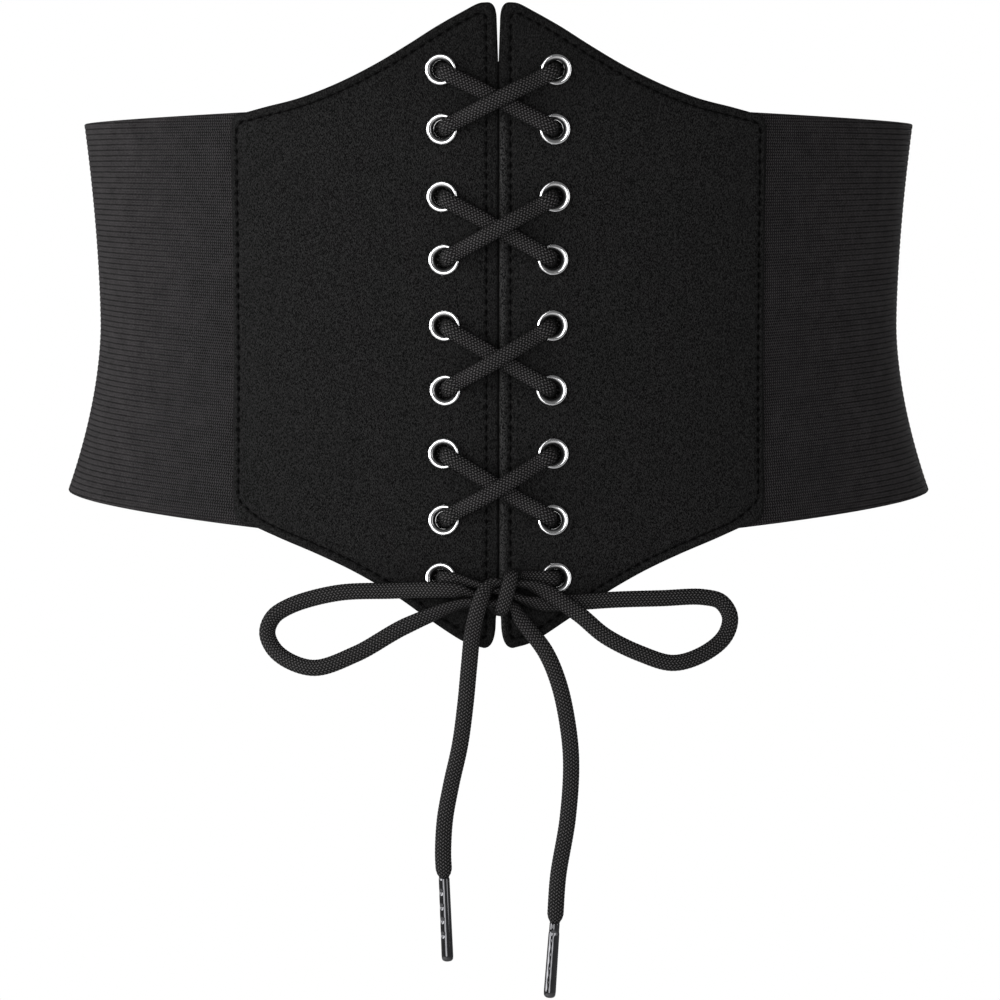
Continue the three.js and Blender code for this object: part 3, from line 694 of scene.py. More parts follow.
def fibres(tree, kind):
    """The fibre group's outputs for a kind of surface."""
    place = node(tree, "ShaderNodeTexCoord").outputs["Object"]
    values = dict(zip(("Fibre", "Mottle", "Lean"), FIBRES[kind]))
    return node(tree, "ShaderNodeGroup", {"Vector": place, **values}, node_tree=fibre).outputs


def cloth(tree, bsdf, kind, share, height, painted_light_and_shade=None):
    """A cloth's colour between its darkest and lightest, scaled down or up by any painted light and shade,
    with its finish and relief.
    """
    look = CLOTHS[kind]
    colour = mixed(tree, share, look["dark"], look["light"])
    if painted_light_and_shade is not None:
        colour = scaled(tree, colour, painted_light_and_shade)
    tree.links.new(colour, bsdf.inputs["Base Color"])
    bsdf.inputs["Roughness"].default_value = look["roughness"]
    bsdf.inputs["Specular IOR Level"].default_value = look["specular"]
    bumped(tree, bsdf, height, *look["relief"])


def suede_material():
    material, tree, bsdf = shader("black_suede")
    nap = fibres(tree, "suede")
    # Painted light and shade of the sewn pieces: darker seams, edges and tips, and a lighter fold
    painted_light_and_shade = node(tree, "ShaderNodeAttribute", attribute_name="painted_light_and_shade").outputs["Fac"]
    cloth(tree, bsdf, "suede", range_of(tree, nap["Shade"], 0.455, 0.56), nap["Height"], painted_light_and_shade)
    return material


def elastic_material():
    """Ribbed knit: UV counts the knit's columns and the ribs. Its colour is lighter on the rib crests and the
    loops, as painted highlight, and darker in the grooves and holes, as painted shade; the loops show most
    near the seam, as painted highlight that fades towards the side.
    """
    material, tree, bsdf = shader("ribbed_elastic")
    uv = node(tree, "ShaderNodeUVMap", uv_map="UVMap")
    axes = node(tree, "ShaderNodeSeparateXYZ", {0: uv.outputs[0]})
    column, rib = axes.outputs[0], axes.outputs[1]
    crest = sum_of(tree, "PINGPONG", rib, 0.5)
    crest = range_of(tree, crest, 0.0, 0.24, interpolation_type="SMOOTHSTEP")
    row = sum_of(tree, "MULTIPLY", rib, 2.0)
    odd = sum_of(tree, "FLOORED_MODULO", sum_of(tree, "FLOOR", row), 2.0)
    up = sum_of(tree, "SUBTRACT", sum_of(tree, "FRACT", row), 0.5)
    lean = times_plus(tree, odd, 2 * LOOP_LEAN, -LOOP_LEAN)
    legs = cosine(tree, times_plus(tree, lean, up, column), 2 * math.pi)
    loops = sum_of(tree, "MULTIPLY", times_plus(tree, legs, 0.6, 0.4), cosine(tree, up, math.pi))
    # Painted highlight: the loops catch the light most near the seam and fade towards the side
    loop_highlight_near_seam = range_of(tree, column, 24.0, 105.0, 1.0, 0.15)
    shown = node(
        tree, "ShaderNodeMix",
        {"Factor": loop_highlight_near_seam, "A": crest, "B": sum_of(tree, "MULTIPLY", loops, 1.9)}, data_type="FLOAT",
    )
    wear = fibres(tree, "elastic")
    light = times_plus(tree, wear["Shade"], 4.0, shown.outputs["Result"])
    height = times_plus(tree, loops, 0.5, sum_of(tree, "MULTIPLY", wear["Height"], 0.4))
    cloth(tree, bsdf, "elastic", range_of(tree, light, 2.0, 3.7), height)
    return material


def braid_material():
    """A braid by its cells in UV: the strands' crowns are lighter than the gaps between them, as painted
    highlight and shade, and painted shade darkens it where the cord turns away.
    """
    material, tree, bsdf = shader("black_braid")
    uv = node(tree, "ShaderNodeUVMap", uv_map="UVMap")
    cells = {"Vector": uv.outputs[0], "Lean": STRAND_LEAN}
    strands = node(tree, "ShaderNodeGroup", cells, node_tree=braid_strands).outputs["Height"]
    crown = times_plus(tree, fibres(tree, "braid")["Shade"], 0.4, strands)
    edge_on = node(tree, "ShaderNodeLayerWeight", {"Blend": 0.5}).outputs["Facing"]
    # Painted shade on the cord's sides, where it turns away from view
    painted_light_and_shade = range_of(tree, edge_on, 0.2, 0.62, 1.0, 0.3)
    cloth(tree, bsdf, "braid", range_of(tree, crown, 0.65, 1.15), strands, painted_light_and_shade)
    return material


def metal_material(name):
    """Metal with faint rub marks, dull and darkened by painted shade where the mesh's attribute inner says
    so.
    """
    colour, roughness, wear = METALS[name]
    material, tree, bsdf = shader(name)
    rub = fibres(tree, "metal")
    inner = node(tree, "ShaderNodeAttribute", attribute_name="inner").outputs["Fac"]
    worn = mixed(tree, rub["Shade"], [c * (1 - wear) for c in colour], colour)
    # Painted shade inside an eyelet's hollow, from the attribute inner
    shaded_in_hollow = scaled(tree, worn, range_of(tree, inner, 0.0, 1.0, 1.0, INNER_PAINTED_SHADE))
    rough = range_of(tree, rub["Shade"], 0.0, 1.0, roughness * 0.7, roughness * 1.4)
    tree.links.new(shaded_in_hollow, bsdf.inputs["Base Color"])
    tree.links.new(times_plus(tree, inner, INNER_DULLNESS, rough), bsdf.inputs["Roughness"])
    bsdf.inputs["Metallic"].default_value = 1.0
    bumped(tree, bsdf, rub["Height"], *METAL_RELIEF)
    return material


def thread_material():
    material, tree, bsdf = shader("sewing_thread")
    twist = fibres(tree, "thread")
    cloth(tree, bsdf, "thread", twist["Shade"], twist["Height"])
    return material


suede = suede_material()
ribbed = elastic_material()
braid = braid_material()
nickel = metal_material("polished_nickel")
gunmetal = metal_material("gunmetal")
thread = thread_material()


# Free cords and the lace

# How far past the route's last point, and the share of the cord's full width there
CORD_END = ((-0.0024, 1), (-0.0008, 0.84), (0, 0.66), (0.0007, 0.55))


def ending_in_tip(route):
    """The route, full until just before its end and then narrowing into the metal tip's mouth."""
    stations = [(np.array(at, float), wide, full) for at, wide, full in route]
    *rest, (before, turned, _), (end, wide, _) = stations
    down = unit(end - before)
    return rest + [(before, turned, 1)] + [(end + down * past, wide, full) for past, full in CORD_END]


cords = {}
for side in ("left", "right"):
    cord, centres = braided_cord(f"cord_{side}_braid", ending_in_tip(ROUTES[side]), braid)
    cords[side] = (cord, centres)

lace, _ = braided_cord("lace_braid", lace_stations(), braid)


# Metal tips: how far along, and the radius there

TIP_SHAPES = {
    "left": (
        (0, 0), (0, 0.0013), (0.0001, 0.0016), (0.0005, 0.00172), (0.0254, 0.00186),
        (0.0264, 0.00176), (0.0269, 0.0014), (0.0271, 0.0007), (0.0271, 0),
    ),
    "right": (
        (0, 0), (0, 0.0013), (0.0001, 0.0015), (0.0004, 0.0016), (0.0033, 0.0016), (0.0035, 0.00172),
        (0.0226, 0.00192), (0.0236, 0.00182), (0.0242, 0.0014), (0.0244, 0.0007), (0.0244, 0),
    ),
}
# Where the rolled seam runs (turned from the right, the front at a quarter turn), its depth, its dents,
# and how deep the tube's lengthwise creases are
TIP_SEAMS = {
    "left": (2.55, 0.0001, (0.0046, 0.0093, 0.0137, 0.0184), 0.000012),
    "right": (1.9, 0.00005, (0.0035,), 0.00003),
}
TIP_SIDES = 48
TIP_STEP = 0.0003
TIP_CREASES = 9
TIP_SEAM_WIDTH = 0.16
TIP_SEAM_DRIFT, TIP_DRIFT_LENGTH = 0.08, 0.00072
TIP_DENT = {"depth": 0.00035, "around": 0.45, "along": 0.0006}
TIP_END_RADIUS = 0.0012


def metal_tip(name, start, down, shape, seam_at, seam_depth, dents, crease_depth):
    """A rolled tube with a seam down one side, dented along the seam to grip the cord."""
    shape = np.array(shape)
    run = np.concatenate([[0], np.cumsum(np.linalg.norm(np.diff(shape, axis=0), axis=1))])
    even = np.linspace(0, run[-1], int(run[-1] / TIP_STEP))
    along, radius = [np.interp(even, run, shape[:, k])[:, None] for k in range(2)]
    across = unit(np.cross(down, (0, 1.0, 0)))
    front = np.cross(down, across)
    angle = np.arange(TIP_SIDES) * 2 * math.pi / TIP_SIDES
    away = angle - seam_at - TIP_SEAM_DRIFT * np.sin(along / TIP_DRIFT_LENGTH)
    sunk = seam_depth * np.exp(-((away / TIP_SEAM_WIDTH) ** 2))
    sunk = sunk + crease_depth * np.cos(TIP_CREASES * angle)
    for dent in dents:
        off = (away / TIP_DENT["around"]) ** 2 + ((along - dent) / TIP_DENT["along"]) ** 2
        sunk = sunk + TIP_DENT["depth"] * np.exp(-off)
    radius = np.where(radius > TIP_END_RADIUS, radius - sunk, radius)
    reach_across = across * (radius * np.cos(angle))[..., None]
    reach_front = front * (radius * np.sin(angle))[..., None]
    points = start + down * along[..., None] + reach_across + reach_front
    quads = grid_quads(len(even), TIP_SIDES, wrap=True)
    tip = make_piece(name, points.reshape(-1, 3), quads.tolist(), gunmetal)
    weld(tip)
    return tip


def weld(piece):
    """Merges doubles and turns the faces outwards."""
    mesh = bmesh.new()
    mesh.from_mesh(piece.data)
    bmesh.ops.remove_doubles(mesh, verts=mesh.verts, dist=1e-7)
    bmesh.ops.recalc_face_normals(mesh, faces=mesh.faces)
    mesh.to_mesh(piece.data)
    mesh.free()


tips = {}
for side in cords:
    before, end = [np.array(station[0]) for station in ROUTES[side][-2:]]
    down = unit(end - before)
    start = end + down * CLEARANCE
    tips[side] = metal_tip(f"aglet_{side}_tip", start, down, TIP_SHAPES[side], *TIP_SEAMS[side])


# Sewn pieces

def outline_of_panel():
    """The right panel's edge, counter-clockwise as seen from the front."""
    middle = MIDDLE_EDGE
    top, bottom = TOP_TIP_CORNER, BOTTOM_TIP_CORNER

    def corner(start, control, end):
        t = np.linspace(0, 1, 12)[:, None]
        return (1 - t) ** 2 * np.array(start) + 2 * t * (1 - t) * np.array(control) + t**2 * np.array(end)

    high, low = ELASTIC_TOP_AT_SEAM, ELASTIC_BOTTOM_AT_SEAM
    slope_top = [(middle + top["across"], TIP_TOP)]
    slope_top += [(across * PANEL_WIDTH, high + rise * (TIP_TOP - high)) for across, rise in TOP_EDGE]
    slope_top += [(PANEL_WIDTH - TOP_BORDER_CORNER, high)]
    slope_bottom = [(middle + bottom["across"], TIP_BOTTOM)]
    slope_bottom += [(across * PANEL_WIDTH, low + rise * (TIP_BOTTOM - low)) for across, rise in BOTTOM_EDGE]
    slope_bottom += [(PANEL_WIDTH - BOTTOM_BORDER_CORNER, low)]
    slope_bottom = slope_bottom[::-1]
    top_lean, bottom_lean = middle + top["lean"], middle + bottom["lean"]
    clockwise = np.vstack([
        [(middle, TIP_BOTTOM + bottom["up"] + bottom["lean_up"])],
        [(middle, TIP_TOP - top["up"] - top["lean_up"])],
        corner((top_lean, TIP_TOP - top["up"]), (top_lean, TIP_TOP), slope_top[0]),
        curve_through(slope_top)[0][1:],
        corner(slope_top[-1], (PANEL_WIDTH, high), (PANEL_WIDTH, high - TOP_BORDER_CORNER))[1:],
        corner((PANEL_WIDTH, low + BOTTOM_BORDER_CORNER), (PANEL_WIDTH, low), slope_bottom[0]),
        curve_through(slope_bottom)[0][1:],
        corner(slope_bottom[-1], (bottom_lean, TIP_BOTTOM), (bottom_lean, TIP_BOTTOM + bottom["up"]))[1:],
    ])
    return evenly(clockwise[::-1], OUTLINE_STEP)


def inward(outline):
    """Unit vectors into a counter-clockwise closed line."""
    along = unit(np.roll(outline, -1, axis=0) - np.roll(outline, 1, axis=0))
    return np.column_stack([-along[:, 1], along[:, 0]])


def distances(points, line):
    """Each point's distance to a closed line, and how far along the line its nearest point is."""
    start, step = line, np.roll(line, -1, axis=0) - line
    length = np.linalg.norm(step, axis=1)
    run = np.concatenate([[0], np.cumsum(length)[:-1]])
    best = np.full(len(points), np.inf)
    place = np.zeros(len(points))
    for first in range(0, len(points), 4000):
        part = points[first : first + 4000]
        gap = part[:, None] - start
        share = np.clip(np.einsum("ijk,jk->ij", gap, step) / length**2, 0, 1)
        away = np.linalg.norm(gap - share[..., None] * step, axis=2)
        nearest = np.argmin(away, axis=1)
        rows = np.arange(len(part))
        best[first : first + 4000] = away[rows, nearest]
        place[first : first + 4000] = run[nearest] + share[rows, nearest] * length[nearest]
    return best, place


def inside(points, line):
    """Whether each point is inside a closed line."""
    x, y = points[:, :1], points[:, 1:]
    x0, y0 = line[:, 0], line[:, 1]
    x1, y1 = np.roll(x0, -1), np.roll(y0, -1)
    spans = (y0 > y) != (y1 > y)
    rise = np.where(y1 == y0, 1, y1 - y0)
    return np.sum(spans & (x < (x1 - x0) * (y - y0) / rise + x0), axis=1) % 2 == 1


def seam_of_panel(outline):
    """The sewn line, set in from the edges, with its corners rounded."""
    limits = (SEAM_FROM_MIDDLE, PANEL_WIDTH - SEAM_FROM_BORDER)
    line = outline + inward(outline) * SEAM_FROM_SLOPE
    slope = (outline[:, 0] > 0.003) & (outline[:, 0] < PANEL_WIDTH - 0.002)
    keep = slope & (line[:, 0] > limits[0]) & (line[:, 0] < limits[1])
    line = line[keep]
    turn = np.argmax(np.abs(np.diff(line[:, 1])) + np.abs(np.diff(line[:, 0])) > 0.02) + 1
    lower, upper = line[:turn], line[turn:]
    if lower[:, 1].mean() > upper[:, 1].mean():
        lower, upper = upper, lower
    lower = lower[np.argsort(lower[:, 0])]
    lower = lower[lower[:, 0] < limits[1] - SEAM_CORNER_CUT[0]]
    upper = upper[np.argsort(-upper[:, 0])]
    corners = np.vstack([
        [(limits[0], lower[0, 1])], lower, [(limits[1], ELASTIC_BOTTOM_AT_SEAM + SEAM_CORNER_CUT[1])],
        [(limits[1], upper[0, 1])], upper, [(limits[0], upper[-1, 1])],
    ])
    line = evenly(corners, SEAM_STEP)
    for _ in range(30):
        line = (np.roll(line, 1, axis=0) + 2 * line + np.roll(line, -1, axis=0)) / 4
    return evenly(line, SEAM_STEP)


def hole_circle():
    angle = np.arange(HOLE_SIDES) * 2 * math.pi / HOLE_SIDES
    return np.column_stack([np.cos(angle), np.sin(angle)])


def cloth_points(outline, seam, holes):
    """Points of the flat cloth: rows along its edge, sewn line and holes, and a grid between them."""
    rows = [outline + inward(outline) * depth for depth in NEAR_EDGE]
    rows += [seam + inward(seam) * depth for depth in NEAR_SEAM]
    for middle, radius in holes:
        rows += [middle + (radius + away) * hole_circle() for away in NEAR_HOLE]
    low, high = outline.min(axis=0), outline.max(axis=0)
    counts = np.ceil((high - low) / CLOTH_STEP).astype(int)
    grid = np.stack(np.meshgrid(*[np.linspace(low[k], high[k], counts[k]) for k in range(2)]), axis=-1)
    grid[::2, :, 0] += CLOTH_STEP / 2
    grid = grid.reshape(-1, 2)
    grid = grid[distances(grid, seam)[0] > GRID_FROM_SEAM]
    free = np.vstack(rows + [grid])
    edge_away, _ = distances(free, outline)
    is_grid = np.arange(len(free)) >= len(free) - len(grid)
    keep = inside(free, outline) & (edge_away > np.where(is_grid, GRID_FROM_EDGE, POINT_FROM_EDGE))
    for middle, radius in holes:
        away = np.linalg.norm(free - middle, axis=1)
        keep &= away > radius + np.where(is_grid, GRID_FROM_HOLE, POINT_FROM_HOLE)
    free = free[keep]
    _, first = np.unique(np.round(free / SAME_POINT).astype(int), axis=0, return_index=True)
    return free[np.sort(first)]


def cloth_triangles(outline, seam, holes):
    """The flat cloth's points and its triangles, counter-clockwise, with the holes left open."""
    loops = [outline] + [middle + radius * hole_circle() for middle, radius in holes]
    edges, first = [], 0
    for loop in loops:
        edges += [(first + i, first + (i + 1) % len(loop)) for i in range(len(loop))]
        first += len(loop)
    points = np.vstack(loops + [cloth_points(outline, seam, holes)])
    flat, _, triangles, *_ = delaunay_2d_cdt(points.tolist(), edges, [], 1, 1e-7)
    flat = np.array([tuple(p) for p in flat])
    triangles = np.array([t for t in triangles if len(t) == 3])
    centre = flat[triangles].mean(axis=1)
    kept = np.ones(len(triangles), bool)
    for middle, radius in holes:
        kept &= np.linalg.norm(centre - middle, axis=1) > radius * HOLE_SHARE
    triangles = triangles[kept]
    corner = flat[triangles]
    leg, arm = corner[:, 1] - corner[:, 0], corner[:, 2] - corner[:, 0]
    clockwise = leg[:, 0] * arm[:, 1] - leg[:, 1] * arm[:, 0] < 0
    triangles[clockwise] = triangles[clockwise][:, ::-1]
    return flat, triangles


def turned_in_layers(across):
    """Waves of the cloth turned in at the middle edge, strongest half way to the sewn line."""
    reach = np.abs(across / SEAM_FROM_MIDDLE - LAYERS["middle"]) / LAYERS["reach"]
    return np.cos(2 * math.pi * across / LAYERS["pitch"]) * np.clip(1 - reach, 0, 1)


def sewn_piece(name, outline, rolls, seam, holes, place, thickness, base, mirror, material, proud=0):
    """A closed piece of folded cloth with a sewn groove, laid on the wall by place(across, level, out).

    Its fold at the middle stands proud of the face by a little, with the turned-in layers behind it.
    """
    flat, triangles = cloth_triangles(outline, seam, holes)
    across, up = flat.T
    edge_away, edge_place = distances(flat, outline)
    seam_away, seam_place = distances(flat, seam)
    run = np.concatenate([[0], np.cumsum(closed_length(outline))[:-1]])
    roll = np.interp(edge_place, run, rolls)
    front = fold_height(edge_away, roll, thickness)
    back = thickness - fold_height(edge_away, np.full_like(roll, BACK_ROLL), thickness)
    if holes:
        layers = turned_in_layers(across)
        crest = np.sin(math.pi * np.clip(across / FOLD_WIDTH, 0, 1)) ** 2
        front = front + (proud * crest + LAYERS["relief"] * layers) * (edge_away > LAYERS["from_edge"])
    on_edge = edge_away < ON_EDGE
    for middle, radius in holes:
        away = np.linalg.norm(flat - middle, axis=1) - radius
        hole_fold = fold_height(np.maximum(away, 0), BACK_ROLL, thickness)
        front = np.minimum(front, hole_fold)
        back = np.maximum(back, thickness - hole_fold)
        press = np.clip(1 - (away - EYELET_PRESS_ROUND["from"]) / EYELET_PRESS_ROUND["over"], 0, 1)
        front -= EYELET_PRESS * press * (away > ON_EDGE) * (away < EYELET_PRESS_ROUND["to"])
        on_edge |= np.abs(away) < ON_EDGE
    pitch = round_pitch(seam)
    hop = (seam_place / pitch + 0.5) % 1 - 0.5
    groove = GROOVE_DEPTH * np.exp(-((seam_away / GROOVE_HALF) ** 2))
    puncture = PUNCTURE_DEPTH * np.exp(-(seam_away**2 + (hop * pitch) ** 2) / PUNCTURE_RADIUS**2)
    front = front - (groove + puncture) * (edge_away > GROOVE_FROM_EDGE)
    front = np.maximum(front, back + LEAST_THICKNESS)
    front[on_edge] = back[on_edge] = thickness / 2

    hand = -1 if mirror else 1
    back_index = np.arange(len(flat))
    back_index[~on_edge] = len(flat) + np.arange(np.sum(~on_edge))
    faces = np.vstack([triangles, back_index[triangles[:, ::-1]]])
    if mirror:
        faces = faces[:, ::-1]
    outer = place(hand * across, up, base + front)
    inner = place(hand * across[~on_edge], up[~on_edge], base + back[~on_edge])
    piece = make_piece(name, np.vstack([outer, inner]), faces.tolist(), material)

    # Painted shade: darker along the sewn line and most in its stitch holes
    stitch_shade = SEAM_PAINTED_SHADE["stitch"] * np.exp(-((hop * pitch / SEAM_PAINTED_SHADE["reach"]) ** 2))
    sewn = np.exp(-((seam_away / SEAM_PAINTED_SHADE["half"]) ** 2)) * (SEAM_PAINTED_SHADE["line"] + stitch_shade)
    # Painted shade at the folded edges and at the gap between the two panels
    edge = np.minimum(edge_away, np.abs(across) if holes else 1)
    painted_light_and_shade = (1 - sewn) * (1 - EDGE_PAINTED_SHADE["share"] * np.exp(-((edge / EDGE_PAINTED_SHADE["half"]) ** 2)))
    # Painted shade towards the pointed tips, top and bottom
    toward_tip = np.clip((np.abs(up) - TIP_PAINTED_SHADE["from"]) / TIP_PAINTED_SHADE["over"], 0, 1)
    painted_light_and_shade *= 1 - TIP_PAINTED_SHADE["share"] * toward_tip
    if holes:
        # Painted highlight on the right panel's proud middle fold, where light from the left catches it
        fold_highlight = np.clip((across - FOLD_PAINTED_HIGHLIGHT["from"]) / FOLD_PAINTED_HIGHLIGHT["soft"], 0, 1)
        fold_highlight = fold_highlight * np.clip((FOLD_PAINTED_HIGHLIGHT["to"] - across) / FOLD_PAINTED_HIGHLIGHT["soft"], 0, 1)
        below = np.clip((FOLD_PAINTED_HIGHLIGHT["below"] - up) / FOLD_PAINTED_HIGHLIGHT["over"], 0, 1)
        painted_light_and_shade += FOLD_PAINTED_HIGHLIGHT["gain"] * (proud > 0) * fold_highlight * below
        # Painted light and shade on the turned-in layers: lighter on their ridges, darker between them
        painted_light_and_shade += LAYER_PAINTED_SHADING * layers
    add_attribute(piece, "painted_light_and_shade", np.concatenate([painted_light_and_shade, np.ones(len(inner))]))
    stitch_line = place(hand * seam[:, 0], seam[:, 1], base + thickness - GROOVE_DEPTH)
    stitch_out = outward_at(place, hand * seam[:, 0], seam[:, 1])
    return piece, stitch_line, stitch_out


def fold_height(away, roll, thickness):
    """The outer face's height over a folded edge: half the thickness at the edge, all of it inside."""
    bend = np.clip(1 - away / roll, 0, 1)
    return thickness - thickness / 2 * (1 - np.sqrt(1 - bend**2))


def round_pitch(seam):
    """The stitch pitch that fits a whole number of stitches on the seam."""
    whole = closed_length(seam).sum()
    return whole / round(whole / STITCH_PITCH)


outline = outline_of_panel()
panel_rolls = np.where(outline[:, 0] < 0.001, MIDDLE_FOLD_ROLL, FOLD_ROLL)
panel_seam = seam_of_panel(outline)
panel_holes = []
for down, apart in EYELET_ROWS:
    middle = np.array([EYELET_FROM_MIDDLE * apart, FIRST_EYELET - LACED_HEIGHT * down])
    panel_holes.append((middle, EYELET_HOLE_RADIUS + EYELET_WALL + HOLE_ROOM))

seams = []
panels = {}
for side, mirror in (("right", False), ("left", True)):
    piece, line, out = sewn_piece(
        f"panel_{side}_suede", outline, panel_rolls, panel_seam, panel_holes,
        front_point, PANEL_THICKNESS, LAP_CLEARANCE, mirror, suede, FOLD_PROUD[side],
    )
    panels[side] = piece
    seams.append((line, out))


def rounded_strip(width, low, high, radius):
    """A strip's outline with rounded corners, counter-clockwise."""
    points = []
    for x, y, start in ((1, -1, -90), (1, 1, 0), (-1, 1, 90), (-1, -1, 180)):
        middle = np.array([x * (width / 2 - radius), (high if y > 0 else low) - y * radius])
        for step in range(7):
            angle = math.radians(start + 15 * step)
            points.append(middle + radius * np.array([math.cos(angle), math.sin(angle)]))
    return np.array(points)


strip = rounded_strip(CLOSURE_WIDTH, ELASTIC_BOTTOM_AT_SIDE, ELASTIC_TOP_AT_SIDE, CLOSURE_CORNER)
strip = evenly(strip, OUTLINE_STEP)
strip_seam = rounded_strip(
    CLOSURE_WIDTH - 2 * CLOSURE_SEAM_INSET, ELASTIC_BOTTOM_AT_SIDE + CLOSURE_SEAM_INSET,
    ELASTIC_TOP_AT_SIDE - CLOSURE_SEAM_INSET, CLOSURE_SEAM_CORNER,
)
strip_seam = evenly(strip_seam, SEAM_STEP)
closure, line, out = sewn_piece(
    "back_closure_strip", strip, np.full(len(strip), FOLD_ROLL), strip_seam, [],
    closure_point, CLOSURE_THICKNESS, LAP_CLEARANCE, False, suede,
)
seams.append((line, out))


# Elastic bands

def elastic_band(name, side, material):
    """A ribbed band from its lap behind the panel round to the back, with rolled selvedges."""
    steps = np.linspace(0, 1, ELASTIC_COLUMNS + 1)
    width, _ = oval_at(0.0, 0)
    start = math.asin((PANEL_WIDTH - SEAM_LAP) / width)
    end = math.pi - math.asin(ELASTIC_END_GAP / 2 / width)
    middle_turn = start + steps * (end - start)
    seam_share = 1 - np.clip((width * np.sin(middle_turn) - PANEL_WIDTH) / (width - PANEL_WIDTH), -0.25, 1)
    seam_share = np.where(middle_turn > math.pi / 2, 0, seam_share)
    high = ELASTIC_TOP_AT_SIDE + seam_share * (ELASTIC_TOP_AT_SEAM - ELASTIC_TOP_AT_SIDE)
    low = ELASTIC_BOTTOM_AT_SIDE + seam_share * (ELASTIC_BOTTOM_AT_SEAM - ELASTIC_BOTTOM_AT_SIDE)
    centre_line = wall_point(middle_turn, 0.0, 0)
    run = np.concatenate([[0], np.cumsum(np.linalg.norm(np.diff(centre_line, axis=0), axis=1))])
    first_rib, last_rib = int(RIBS_FROM / RIB_PITCH), int(RIBS_TO / RIB_PITCH)
    levels = np.linspace(-0.08, 0.08, 400)

    def face(profile, base):
        phase = np.array([p[0] for p in profile])
        ribs = (np.arange(first_rib, last_rib)[:, None] + phase).ravel()
        relief = np.tile([p[1] for p in profile], last_rib - first_rib)
        level = np.empty((len(ribs), len(steps)))
        for column, share in enumerate(seam_share):
            drop = share * np.interp(levels, *RIB_DROP)
            level[:, column] = np.interp(ribs * RIB_PITCH, levels + drop, levels)
        level = np.clip(level, low, high)
        edge = np.minimum(level - low, high - level)
        bend = np.clip(1 - edge / SELVEDGE_ROLL, 0, 1)
        fold = ELASTIC_THICKNESS / 2 * (1 - np.sqrt(1 - bend**2))
        ribbed_share = np.clip((edge - PLAIN_SELVEDGE) / SELVEDGE_FADE, 0, 1)
        if base == 0:
            out = -fold - RIB_DEPTH * relief[:, None] * ribbed_share
        else:
            out = -ELASTIC_THICKNESS + fold
        local_width, _ = oval_at(level, 0)
        first = np.arcsin((PANEL_WIDTH - SEAM_LAP) / local_width)
        last = math.pi - np.arcsin(ELASTIC_END_GAP / 2 / local_width)
        points = wall_point(first + steps * (last - first), level, out)
        return points, ribs

    outer, ribs = face(RIB_PROFILE, 0)
    inner, inner_ribs = face(((0, 0), (0.5, 0)), 1)
    rows, columns = outer.shape[:2]
    inner_rows = inner.shape[0]
    count = rows * columns

    def inner_at(row, column):
        return count + row * columns + column

    c = np.arange(columns - 1)
    quads = [grid_quads(rows, columns)]
    quads.append(grid_quads(inner_rows, columns)[:, ::-1] + count)
    top, inner_top = (rows - 1) * columns, inner_rows - 1
    quads.append(np.stack([top + c, top + c + 1, inner_at(inner_top, c + 1), inner_at(inner_top, c)], axis=1))
    quads.append(np.stack([inner_at(0, c), inner_at(0, c + 1), c + 1, c], axis=1))
    faces = np.vstack(quads).tolist()
    for column, flip in ((0, True), (columns - 1, False)):
        ends = [column + row * columns for row in range(rows)]
        ends += [inner_at(row, column) for row in range(inner_rows - 1, -1, -1)]
        faces.append(ends if flip else ends[::-1])
    outer_uv = grid_uv(run / KNIT_PITCH, ribs).reshape(-1, 2)
    inner_uv = grid_uv(run / KNIT_PITCH, inner_ribs)[:, :, ::-1].reshape(-1, 2)
    rest = sum(len(face) for face in faces) - len(outer_uv) - len(inner_uv)
    uv = np.concatenate([outer_uv, inner_uv, np.zeros((rest, 2))])
    points = np.concatenate([outer.reshape(-1, 3), inner.reshape(-1, 3)])
    points[:, 0] *= side
    band = make_piece(name, points, faces, material, uv)
    weld(band)
    return band


bands = {
    "right": elastic_band("elastic_right_webbing", 1, ribbed),
    "left": elastic_band("elastic_left_webbing", -1, ribbed),
}


# Eyelets and stitches, set out by Geometry Nodes

# Radius and height over the panel's face, round the rolled wall
EYELET_SHAPE = (
    (2.9, -0.5), (2.9, -0.1), (2.96, 0.2), (3.12, 0.5), (3.38, 0.76), (3.68, 0.95), (4.0, 1.07), (4.3, 1.1),
    (4.58, 1.02), (4.8, 0.8), (4.93, 0.5), (4.98, 0.15), (4.97, -0.1), (4.86, -0.24), (4.7, -0.2), (4.4, 0.0),
    (3.5, 0.0), (3.32, -0.1), (3.3, -1.0), (3.3, -2.3), (3.45, -2.45), (4.0, -2.5), (4.18, -2.6),
    (4.2, -2.85), (4.0, -3.02), (3.6, -3.05), (3.2, -2.98), (2.95, -2.75), (2.9, -2.4),
)
EYELET_SIDES = 48
# Inside this radius the metal is dull and painted dark as shade in the hollow, and how softly that begins
EYELET_INNER, EYELET_INNER_SOFT = 0.0037, 0.0005


def eyelet_model():
    shape = np.array(EYELET_SHAPE + EYELET_SHAPE[:1]) * MM
    shape = curve_through(shape, 2)[0][:-1]
    angle = np.arange(EYELET_SIDES) * 2 * math.pi / EYELET_SIDES
    height = np.broadcast_to(shape[:, 1:], (len(shape), EYELET_SIDES))
    rings = np.stack([shape[:, :1] * np.cos(angle), shape[:, :1] * np.sin(angle), height], axis=-1)
    rings = np.concatenate([rings, rings[:1]])
    quads = grid_quads(len(rings), EYELET_SIDES, wrap=True)
    model = make_piece("eyelet_model", rings.reshape(-1, 3), quads.tolist(), nickel)
    weld(model)
    places = np.array([vertex.co for vertex in model.data.vertices])
    radius = np.hypot(places[:, 0], places[:, 1])
    add_attribute(model, "inner", np.clip((EYELET_INNER - radius) / EYELET_INNER_SOFT, 0, 1))
    return model


